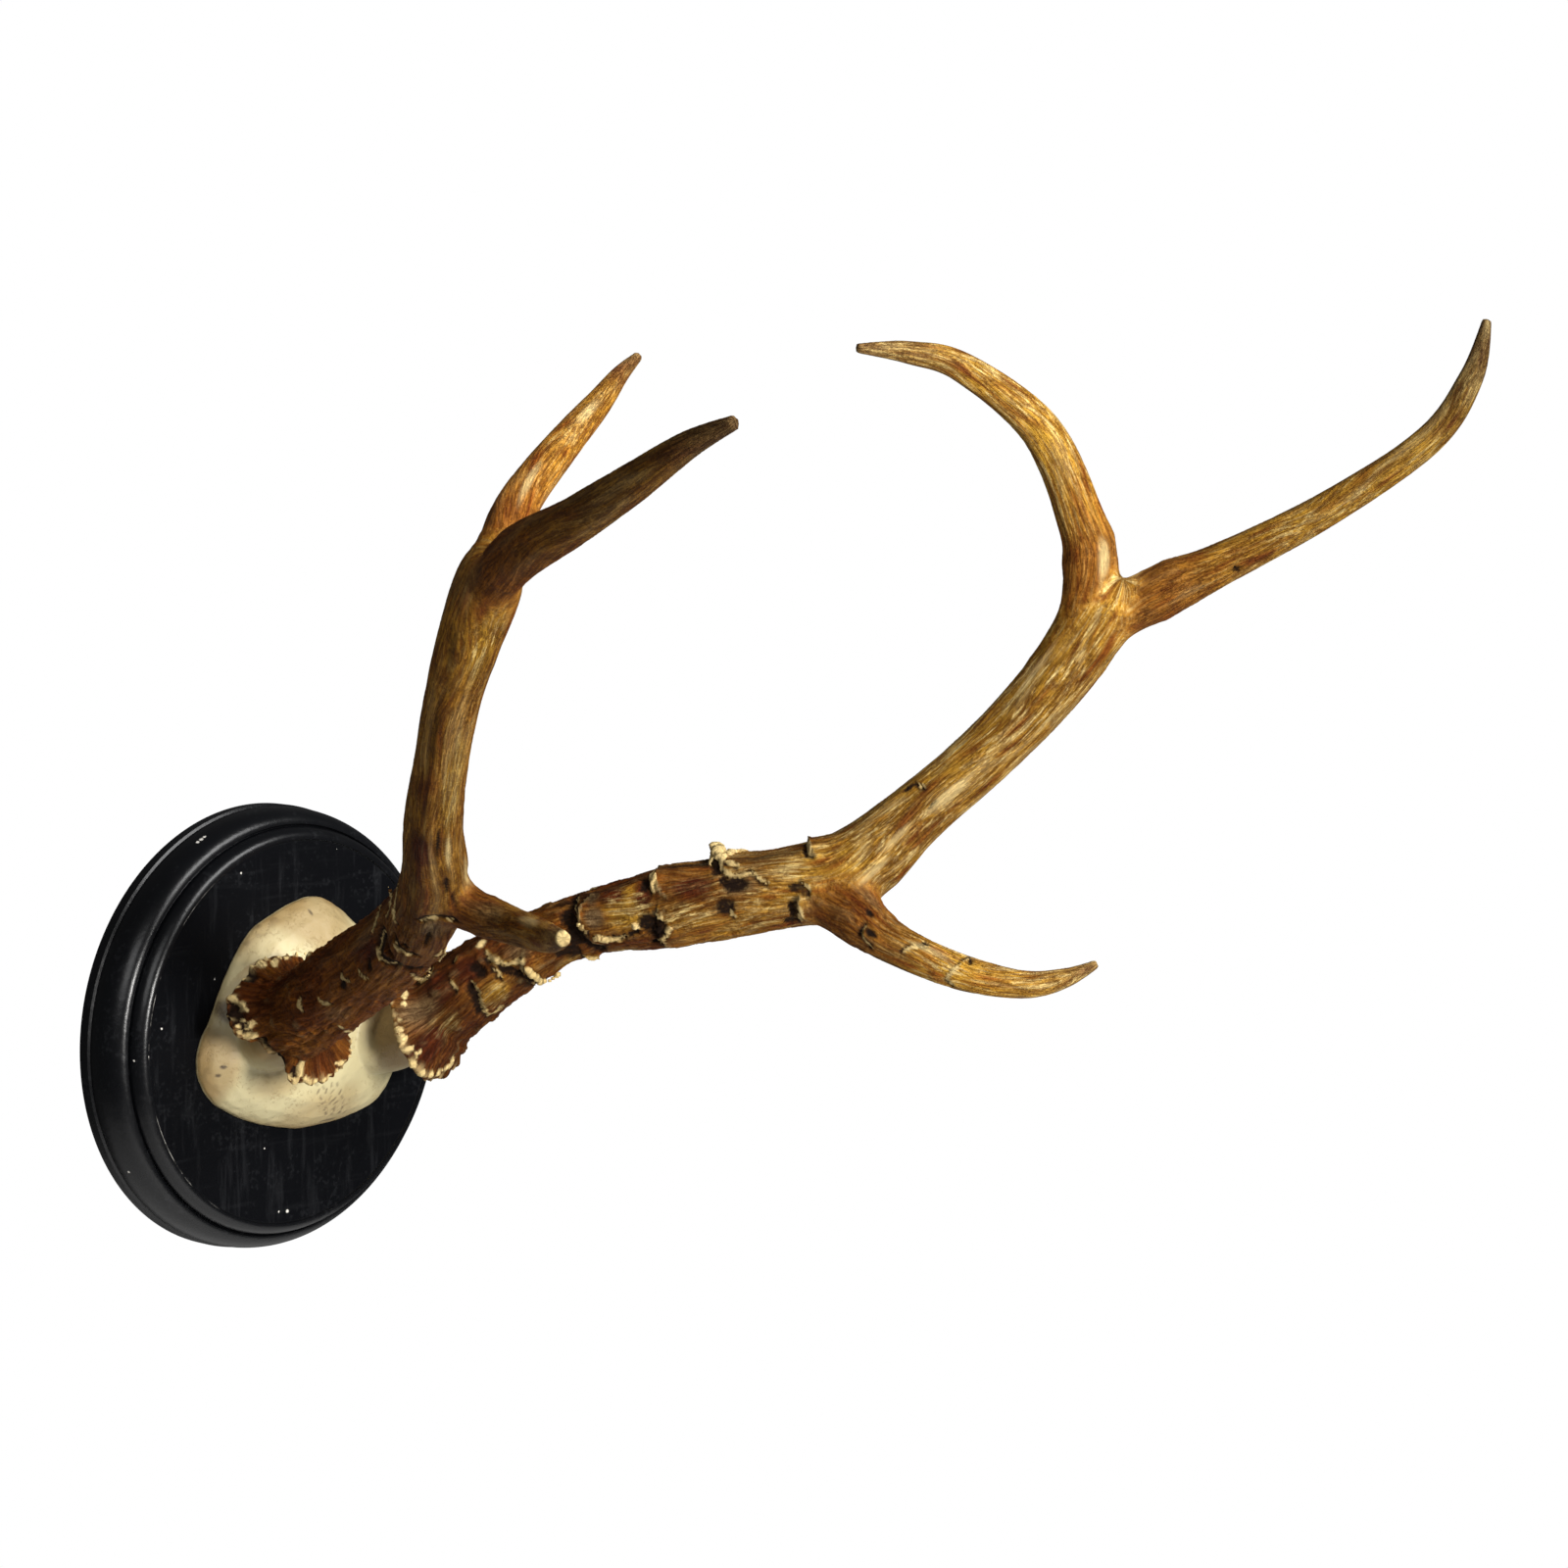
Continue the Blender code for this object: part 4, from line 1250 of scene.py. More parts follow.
    def chips_and_glint_mask(self, graph: Graph, place: bpy.types.NodeSocket) -> bpy.types.NodeSocket:
        """Build the mask of the chips and of the painted highlight, with ragged edges.

        Args:
            graph: the material's graph.
            place: the place on the disc.

        Returns:
            The mask.
        """
        ragged = graph.math("MULTIPLY", graph.math("SUBTRACT", graph.noise(place, 900.0, 3.0), 0.5), 0.0010)
        mask = 0.0
        for chip_or_glint in self.chips_and_glint:
            turn = math.radians(chip_or_glint.angle)
            middle = (chip_or_glint.radius * math.cos(turn), -chip_or_glint.height, chip_or_glint.radius * math.sin(turn))
            away = graph.add("ShaderNodeVectorMath", "distance to chip", operation="DISTANCE")
            graph.feed(away.inputs[0], place)
            graph.feed(away.inputs[1], middle)
            gap = graph.math("ADD", away.outputs["Value"], ragged)
            near = graph.span(gap, chip_or_glint.half_width * 0.3, chip_or_glint.half_width * 0.8, 1.0, 0.0)
            mask = graph.math("MAXIMUM", mask, near)
        return mask


def deselect() -> None:
    """Deselect every object, since the loaded solids start selected."""
    bpy.ops.object.select_all(action="DESELECT")


def take_up(piece: bpy.types.Object) -> None:
    """Make a piece the only selected and active object."""
    deselect()
    piece.select_set(True)
    bpy.context.view_layer.objects.active = piece


def new_piece(name: str, points: np.ndarray, faces: list) -> bpy.types.Object:
    """Make a mesh object from points and faces.

    Args:
        name: the piece's name.
        points: its points, one a row.
        faces: its faces, each a row of point numbers.

    Returns:
        The object, linked to the scene.
    """
    mesh = bpy.data.meshes.new(name)
    mesh.from_pydata(points.tolist(), [], faces)
    piece = bpy.data.objects.new(name, mesh)
    bpy.context.scene.collection.objects.link(piece)
    return piece


def read_points(mesh: bpy.types.Mesh) -> np.ndarray:
    """Give a mesh's points, one a row."""
    flat = np.empty(len(mesh.vertices) * 3)
    mesh.vertices.foreach_get("co", flat)
    return flat.reshape(-1, 3)


def read_normals(mesh: bpy.types.Mesh) -> np.ndarray:
    """Give a mesh's point normals, one a row."""
    flat = np.empty(len(mesh.vertices) * 3)
    mesh.vertex_normals.foreach_get("vector", flat)
    return flat.reshape(-1, 3)


def write_points(mesh: bpy.types.Mesh, points: np.ndarray) -> None:
    """Put a mesh's points where the rows say."""
    mesh.vertices.foreach_set("co", points.reshape(-1))
    mesh.update()


def write_mask(mesh: bpy.types.Mesh, name: str, values: np.ndarray) -> None:
    """Store one number, or one vector, for each point as a named attribute."""
    kind, key = ("FLOAT_VECTOR", "vector") if values.ndim == 2 else ("FLOAT", "value")
    layer = mesh.attributes.new(name, kind, "POINT")
    layer.data.foreach_set(key, np.ascontiguousarray(values, dtype=np.float32).reshape(-1))


def stacked(rings: list, low: np.ndarray, high: np.ndarray, start: int = 0) -> tuple:
    """Close a stack of equal rings with a point at each end.

    Args:
        rings: the rings, each one point a row.
        low: the point that closes the first ring.
        high: the point that closes the last ring.
        start: the number that the first point gets.

    Returns:
        The points, and the faces as rows of point numbers.
    """
    count = len(rings[0])
    points = np.concatenate(rings + [low[None, :], high[None, :]])
    bottom = start + len(rings) * count
    faces = []
    for level in range(len(rings) - 1):
        base = start + level * count
        for index in range(count):
            after = (index + 1) % count
            faces.append((base + index, base + after, base + count + after, base + count + index))
    for index in range(count):
        after = (index + 1) % count
        faces.append((start + after, start + index, bottom))
        faces.append((bottom - count + index, bottom - count + after, bottom + 1))
    return points, faces


class Clay:
    """Closed forms that are put together and then fused into one skin."""

    def __init__(self) -> None:
        """Start with nothing, and make the pearl that is copied for every small round form."""
        self.points: list = []
        self.faces: list = []
        self.total = 0
        ball = bmesh.new()
        bmesh.ops.create_icosphere(ball, subdivisions=2, radius=1.0)
        self.ball_points = np.array([tuple(v.co) for v in ball.verts])
        self.ball_faces = np.array([[v.index for v in face.verts] for face in ball.faces])
        ball.free()

    def add(self, points: np.ndarray, faces: list) -> None:
        """Add a closed form whose faces already count from this clay's total."""
        self.points.append(points)
        self.faces.extend(faces)
        self.total += len(points)

    def add_stack(self, rings: list, low: np.ndarray, high: np.ndarray) -> None:
        """Add a stack of rings with closed ends."""
        self.add(*stacked(rings, low, high, self.total))

    def add_ball(self, centre: np.ndarray, radius: float) -> None:
        """Add one pearl."""
        faces = (self.ball_faces + self.total).tolist()
        self.add(centre + self.ball_points * radius, faces)

    def fuse(self, name: str, voxel: float, rounds: int) -> bpy.types.Object:
        """Fuse all forms into one skin.

        Args:
            name: the piece's name.
            voxel: the skin's fineness in metres.
            rounds: how often the skin is smoothed.

        Returns:
            The fused piece.
        """
        piece = new_piece(name, np.concatenate(self.points), self.faces)
        take_up(piece)
        skin = piece.modifiers.new("skin", "REMESH")
        skin.mode = "VOXEL"
        skin.voxel_size = voxel
        bpy.ops.object.modifier_apply(modifier=skin.name)
        soften = piece.modifiers.new("soften", "SMOOTH")
        soften.factor = 0.5
        soften.iterations = rounds
        bpy.ops.object.modifier_apply(modifier=soften.name)
        return piece


def cut_flat(piece: bpy.types.Object, point: np.ndarray, outward: np.ndarray) -> None:
    """Cut away what lies beyond a plane and close the cut.

    Args:
        piece: the piece to cut.
        point: a point on the plane.
        outward: the direction that is cut away.
    """
    take_up(piece)
    bpy.ops.object.mode_set(mode="EDIT")
    bpy.ops.mesh.select_all(action="SELECT")
    bpy.ops.mesh.bisect(
        plane_co=tuple(point), plane_no=tuple(outward), use_fill=True, clear_outer=True, threshold=0.00001
    )
    bpy.ops.mesh.select_all(action="SELECT")
    bpy.ops.mesh.normals_make_consistent(inside=False)
    bpy.ops.object.mode_set(mode="OBJECT")


def settle(piece: bpy.types.Object, node: str, material: bpy.types.Material) -> None:
    """Dress a finished piece and let it stand for its solid.

    Args:
        piece: the finished piece.
        node: the solid that it stands for.
        material: its finish.
    """
    piece.data.materials.clear()
    piece.data.materials.append(material)
    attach(piece, "root")
    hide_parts(node)
    log.info("%s: %d faces", piece.name, len(piece.data.polygons))


@dataclass
class Antler:
    """One antler with its burr, its beam and its three points."""

    side: Side
    branches: tuple
    seed: int
    voxel: float = 0.00083
    burr_radius: float = 0.0250
    burr_neck: float = 0.0148
    burr_height: float = 0.0100
    burr_pearls: int = 44
    rib_reach: float = 0.0011
    rib_lift: float = 0.0009
    lip_drift: float = 0.0009
    gilding: float = 1.0
    scale_reach: float = 0.0055
    fork_rounds: int = 220
    lines: list = field(default_factory=list)
    balls: list = field(default_factory=list)

    def build(self) -> bpy.types.Object:
        """Model the antler.

        Returns:
            The finished mesh with its masks.
        """
        self.lines = [CentreLine(branch, self.side) for branch in self.branches]
        clay = Clay()
        self.add_branches(clay)
        self.add_burr(clay)
        self.add_lips(clay)
        name = f"{self.side.name.lower()}_antler_carved"
        piece = clay.fuse(name, self.voxel, 1)
        self.blend_forks(piece)
        self.carve(piece.data)
        axis = seat_axis(self.side)
        cut_flat(piece, seat_centre(self.side) + axis * (PART_GAP / 2), -axis)
        piece.data.shade_smooth()
        return piece

    def add_branches(self, clay: Clay) -> None:
        """Add the smooth beam and tines."""
        turns = np.linspace(0.0, math.tau, 48, endpoint=False)
        for line in self.lines:
            rings = [line.ring(index, turns) for index in range(0, len(line.points), 5)]
            clay.add_stack(rings, line.points[0], line.points[-1])

    def rim_reach(self, turns: np.ndarray) -> np.ndarray:
        """Give the burr's radius in metres at turns round its seat."""
        angles = np.mod(np.degrees(turns) + 180.0, 360.0) - 180.0
        knots = np.array(BURR_RIMS[self.side], dtype=float)
        after = np.clip(np.searchsorted(knots[:, 0], angles), 1, len(knots) - 1)
        low, high = knots[after - 1], knots[after]
        ease = smooth(0.0, 1.0, (angles - low[:, 0]) / (high[:, 0] - low[:, 0]))
        return self.burr_radius * (low[:, 1] + (high[:, 1] - low[:, 1]) * ease)

    def add_burr(self, clay: Clay) -> None:
        """Add the flared coronet round the antler's foot, with its ribs and pearls."""
        root, axis = seat_centre(self.side), seat_axis(self.side)
        across = np.array(Vector(axis).orthogonal().normalized())
        beside = np.cross(axis, across)
        turns = np.linspace(0.0, math.tau, 360, endpoint=False)
        around = np.cos(turns)[:, None] * across + np.sin(turns)[:, None] * beside
        circle = np.stack([np.cos(turns), np.sin(turns), np.zeros(len(turns))], axis=1)
        ribs = Noise(self.seed + 50)(circle * 7.5) + 0.6 * Noise(self.seed + 51)(circle * 14.0)
        rim = self.rim_reach(turns) + self.rib_reach * ribs
        sections = (
            (-0.20, 0.0),
            (-0.19, 0.9),
            (0.12, 1.0),
            (0.28, 0.92),
            (0.50, 0.60),
            (0.85, 0.24),
            (1.30, 0.0),
        )
        rings = []
        for height, share in sections:
            reach = self.burr_neck + (rim - self.burr_neck) * share
            lift = height * self.burr_height + self.rib_lift * ribs * share * (height > 0.0)
            rings.append(root + axis * lift[:, None] + around * reach[:, None])
        low, high = (root + axis * (end[0] * self.burr_height) for end in (sections[0], sections[-1]))
        clay.add_stack(rings, low, high)
        draw = np.random.default_rng(self.seed)
        for index in range(self.burr_pearls):
            turn = math.tau * (index + draw.uniform(-0.35, 0.35)) / self.burr_pearls
            out = across * math.cos(turn) + beside * math.sin(turn)
            reach = self.rim_reach(np.array([turn]))[0]
            radius = draw.uniform(0.0006, 0.0014)
            base = root + axis * draw.uniform(0.0004, 0.0022)
            for step in range(4):
                spot = base + out * (reach - 0.0026 + 0.0008 * step) + axis * (0.0010 - 0.0004 * step)
                self.add_pearl(clay, spot, radius * (1.25 - 0.1 * step), 0.05 + 0.12 * step)

    def add_pearl(
        self, clay: Clay, centre: np.ndarray, radius: float, shine: float = 1.0, hollow: np.ndarray = None
    ) -> None:
        """Add a pearl to the clay and note it for the masks.

        Args:
            clay: what the pearl is added to.
            centre: its middle.
            radius: its radius.
            shine: how pale its tip is.
            hollow: the way to the far side of the hollow with painted shade beside it, if it has one.
        """
        clay.add_ball(centre, radius)
        self.balls.append((centre, radius, shine, hollow))

    def add_lips(self, clay: Clay) -> None:
        """Add the pale ridges, crescents and pearls that stand on the branches."""
        draw = np.random.default_rng(self.seed + 5)
        for line in self.lines:
            for lip in line.branch.lips:
                knots = np.array(lip.line, dtype=float)
                if len(knots) == 1:
                    self.add_spot(clay, line, knots[0], lip.thick, 0.15, None)
                    continue
                ends = [line.surface(*knot) for knot in lip.line]
                length = sum(np.linalg.norm(b - a) for a, b in zip(ends, ends[1:]))
                count = max(3, int(length / (lip.thick * 0.5)))
                spots = spline(knots, np.linspace(0, len(knots) - 1, count))
                drift = spline(draw.normal(size=count // 4 + 3), np.linspace(0, count / 4, count))
                size = spline(draw.uniform(0.55, 1.15, count // 3 + 3), np.linspace(0, count / 3, count))
                for order, spot in enumerate(spots):
                    taper = 0.5 + 0.5 * math.sin(math.pi * order / (count - 1))
                    spot[0] += drift[order] * (self.lip_drift if lip.hollow < 0.0 else 0.0)
                    radius = lip.thick * taper * size[order] * (0.72 if lip.hollow else 1.0)
                    rise = -0.25 if lip.hollow else 0.1
                    self.add_spot(clay, line, spot, radius, rise, lip.hollow or None)

    def add_spot(
        self, clay: Clay, line: CentreLine, spot: np.ndarray, radius: float, rise: float, hollow: float
    ) -> None:
        """Add one bead of a lip, or one pearl, at a place on a branch.

        Args:
            clay: what it is added to.
            line: the branch's middle.
            spot: the share along, the angle round in degrees and the share of the radius.
            radius: its radius.
            rise: how far its middle stands out of the skin, as a share of its radius.
            hollow: the signed reach of the hollow with painted shade beside it along the branch, if it has
                one.
        """
        skin = line.surface(*spot)
        index = int(round(spot[0] * (len(line.points) - 1)))
        out = unit(skin - line.points[index])
        way = line.tangents[index] * hollow if hollow else None
        self.add_pearl(clay, skin + out * radius * rise, radius, 0.85 if hollow else 1.0, way)

    def locate(self, points: np.ndarray) -> tuple:
        """Find which branch each point belongs to.

        Args:
            points: the skin's points.

        Returns:
            The shares of each branch at each point, and what each branch's locate gave.
        """
        found = [line.locate(points) for line in self.lines]
        reach = np.stack([entry[2] for entry in found])
        weight = np.exp(-(reach - reach.min(axis=0)) / 0.12)
        return weight / weight.sum(axis=0), found

    def blend_forks(self, piece: bpy.types.Object) -> None:
        """Round the creases where the tines leave the beam.

        Args:
            piece: the fused skin.
        """
        found = [line.locate(read_points(piece.data))[2] for line in self.lines]
        ordered = np.sort(np.stack(found), axis=0)
        near = smooth(0.95, 0.40, ordered[1] - ordered[0]) * (ordered[0] < 1.6)
        group = piece.vertex_groups.new(name="fork")
        for index in np.flatnonzero(near > 0.02):
            group.add([int(index)], float(near[index]), "REPLACE")
        soften = piece.modifiers.new("blend", "SMOOTH")
        soften.factor = 0.5
        soften.iterations = self.fork_rounds
        soften.vertex_group = group.name
        take_up(piece)
        bpy.ops.object.modifier_apply(modifier=soften.name)
        piece.vertex_groups.clear()

    def carve(self, mesh: bpy.types.Mesh) -> None:
        """Press the surface relief into the skin and store the masks of its colours.

        Args:
            mesh: the fused skin.
        """
        points, normals = read_points(mesh), read_normals(mesh)
        weight, found = self.locate(points)
        height = np.zeros(len(points))
        masks = {hue.value: np.zeros(len(points)) for hue in Hue}
        tone = np.zeros(len(points))
        grain = np.zeros((len(points), 3))
        best = weight.argmax(axis=0)
        for number, (line, share, spot) in enumerate(zip(self.lines, weight, found)):
            relief = Relief(line, spot, self.seed + 10 * number, self.gilding)
            height += share * relief.height
            places = np.linspace(0, 1, len(line.branch.tone))
            tone += share * np.interp(relief.along, places, line.branch.tone)
            for name, values in relief.masks.items():
                masks[name] += share * values
            grain[best == number] = relief.grain[best == number]
        height += self.mark_pearls(points, masks)
        write_points(mesh, points + normals * height[:, None])
        for name, values in masks.items():
            write_mask(mesh, name, np.clip(values, 0.0, 1.0))
        write_mask(mesh, "grain", grain)
        write_mask(mesh, "tone", tone)
        reach = np.sort(np.stack([spot[2] for spot in found]), axis=0)
        write_mask(mesh, "sure", smooth(0.04, 0.45, reach[1] - reach[0]))

    def mark_pearls(self, points: np.ndarray, masks: dict) -> np.ndarray:
        """Lighten the pearls and rims, and shape what lies beside each rim and paint shade in its hollow.

        Args:
            points: the skin's points.
            masks: the tints' masks, which are changed.

        Returns:
            How far each point rises.
        """
        tree = KDTree(len(points))
        for index, point in enumerate(points):
            tree.insert(point, index)
        tree.balance()
        rise, fall, dark, pale, gold = (np.zeros(len(points)) for _ in range(5))
        for centre, radius, shine, hollow in self.balls:
            reach = radius * 1.4 if hollow is None else self.scale_reach
            near = np.array([index for _, index, _ in tree.find_range(centre, reach)], dtype=np.int64)
            if len(near) == 0:
                continue
            away = points[near] - centre
            gap = np.linalg.norm(away, axis=1)
            pale[near] = np.maximum(pale[near], smooth(1.4, 1.0, gap / radius) * shine)
            if hollow is None:
                continue
            deep = np.linalg.norm(hollow)
            side = away @ (hollow / deep)
            gold[near] = np.maximum(gold[near], smooth(2.6, 1.2, gap / radius))
            raised = smooth(-0.3, -1.5, side / radius) * (1.0 - gap / reach)
            sunken = smooth(0.3, 1.3, side / radius) * smooth(1.6, 0.5, gap / deep)
            rise[near] = np.maximum(rise[near], raised * radius * 0.45)
            fall[near] = np.maximum(fall[near], sunken * deep * 0.35)
            # painted shade in the sunken hollow behind each rim, kept off the pale pearls
            dark[near] = np.maximum(dark[near], sunken)
        masks["dark"] = np.maximum(masks["dark"] * (1.0 - 0.8 * pale), dark * (1.0 - pale))
        masks["pale"] = np.maximum(masks["pale"], pale)
        masks["gold"] = np.maximum(masks["gold"], gold * self.gilding)
        masks["red"] *= 1.0 - gold * 0.6
        return rise - fall


class Relief:
    """The fine relief and tints of one branch, worked out for the points of the skin.

    Each pattern is stretched by its cells a metre across, round and along the branch.
    """

    STREAKS = (850.0, 850.0, 60.0)
    GROOVES = (230.0, 230.0, 22.0)
    THREADS = (520.0, 520.0, 60.0)
    BEADS = (330.0, 330.0, 210.0)
    BLOTCHES = (60.0, 60.0, 26.0)
    GROOVE_DEPTH = 0.0006
    THREAD_DEPTH = 0.0004
    BEAD_HEIGHT = 0.0009

    def __init__(self, line: CentreLine, spot: tuple, seed: int, gilding: float) -> None:
        """Work out the relief.

        Args:
            line: the branch's middle.
            spot: what the middle's locate gave for the points.
            seed: the number that fixes the patterns.
            gilding: how much of the surface is golden.
        """
        self.gilding = gilding
        index, self.turn, _ = spot
        self.line = line
        self.along = line.share[index]
        self.run = line.lengths[index]
        self.radius = line.radii[index]
        rough = np.interp(self.along, np.linspace(0, 1, len(line.branch.roughness)), line.branch.roughness)
        self.rough = rough
        round_x = np.cos(self.turn) * self.radius
        round_y = np.sin(self.turn) * self.radius
        sway = Noise(seed)(np.stack([round_x * 60, round_y * 60, self.run * 25], axis=1)) * 0.004
        self.domain = np.stack([round_x + sway, round_y - sway, self.run], axis=1)
        self.grain = self.domain * self.STREAKS
        self.height = np.zeros(len(self.run))
        self.masks = {hue.value: np.zeros(len(self.run)) for hue in Hue}
        self.press_grooves(seed)
        self.press_ledges()
        self.press_pits()
        self.lay_patches()

    def press_grooves(self, seed: int) -> None:
        """Press the long grooves between rounded ridges, paint shade on their floors and tint the crests."""
        broad = Noise(seed + 1)(self.domain * self.GROOVES)
        fine = Noise(seed + 2)(self.domain * self.THREADS)
        beads = Noise(seed + 3)(self.domain * self.BEADS)
        self.flecks = Noise(seed + 5)(self.domain * 700.0)
        groove = smooth(0.34, 0.0, np.abs(broad))
        thread = smooth(0.30, 0.0, np.abs(fine))
        early = smooth(0.45, 0.05, self.along)
        self.height -= self.rough * (groove * self.GROOVE_DEPTH + thread * self.THREAD_DEPTH)
        self.height += self.rough * early * smooth(0.05, 0.6, beads) * self.BEAD_HEIGHT
        # painted shade on the floors of the grooves and threads
        self.masks["dark"] += groove * groove * 0.22 * self.rough + thread * 0.20 * self.rough
        self.masks["pale"] += smooth(0.35, 0.7, beads) * early * self.rough * 0.12
        crest = smooth(0.25, 0.6, broad + 0.4 * fine)
        self.masks["pale"] += crest * 0.16 * self.gilding * (1.0 - early)
        spread = 1.0 - 0.72 * smooth(0.48, 0.22, self.along)
        self.masks["gold"] += smooth(-0.85, 0.15, 0.45 * broad + fine) * self.gilding * spread
        blotch = Noise(seed + 4)(self.domain * self.BLOTCHES)
        self.masks["red"] += smooth(-0.3, 0.5, blotch + 0.4 * fine + 0.2 * self.rough) * 0.78 * self.rough
        tip = smooth(0.62, 1.0, self.along) if self.line.branch.name != "beam" else 0.0
        self.masks["grey"] += tip * 0.75

    def reach(self, mark: Pit | Patch) -> np.ndarray:
        """Give how far each point lies from a mark's middle, as a share of the mark's half sizes."""
        index = int(round(mark.along * (len(self.line.lengths) - 1)))
        length = self.run - self.line.lengths[index]
        turn = (np.degrees(self.turn) - mark.angle + 180.0) % 360.0 - 180.0
        width = np.radians(turn) * self.radius
        return np.sqrt((length / mark.half_length) ** 2 + (width / mark.half_width) ** 2)

    def press_ledges(self) -> None:
        """Raise each ledge with a pale lip at its front and painted shade at its foot before it."""
        for ledge in self.line.branch.ledges:
            share = (self.along - ledge.start) / ledge.length
            turn = np.abs((np.degrees(self.turn) - ledge.angle + 180.0) % 360.0 - 180.0) / ledge.spread
            back = share - 0.22 * turn * turn
            inside = (turn < 1.0) & (back > 0.0) & (share < 1.0)
            side = np.sqrt(np.cos(np.clip(turn, 0.0, 1.0) * math.pi / 2))
            self.height += np.where(inside, ANTLER_REACH * ledge.height * (1.0 - share) * side, 0.0)
            lip = smooth(0.08, 0.02, back) * smooth(-0.03, 0.0, back) * side * (turn < 1.0)
            foot = smooth(-0.25, -0.05, back) * smooth(0.01, -0.02, back) * side * (turn < 1.0)
            self.masks["pale"] = np.maximum(self.masks["pale"], lip * 0.5)
            # painted shade at the foot before the ledge
            self.masks["dark"] = np.maximum(self.masks["dark"], foot * 0.9)

    def press_pits(self) -> None:
        """Press each pit and paint shade in it."""
        sunk = np.zeros(len(self.run))
        for pit in self.line.branch.pits:
            deep = smooth(1.25, 0.75, self.reach(pit) + 0.15 * self.flecks)
            sunk = np.maximum(sunk, deep * pit.depth)
            # painted shade in the pit
            self.masks["dark"] = np.maximum(self.masks["dark"], deep)
            self.masks["pale"] *= 1.0 - deep
        self.height -= sunk

    def lay_patches(self) -> None:
        """Lay each soft patch of tint into its mask."""
        for patch in self.line.branch.patches:
            near = smooth(1.2, 0.3, self.reach(patch))
            if patch.amount >= 0.0:
                self.masks[patch.hue.value] += near * patch.amount
            else:
                self.masks[patch.hue.value] *= 1.0 + near * patch.amount


@dataclass(frozen=True)
class StainOrShade:
    """A soft tan patch on the skull plate, or a darker one where it is deep; two of them are painted shade,
    the rest stains.
    """

    across: float
    up: float
    half_width: float
    half_height: float
    amount: float
    deep: bool = False


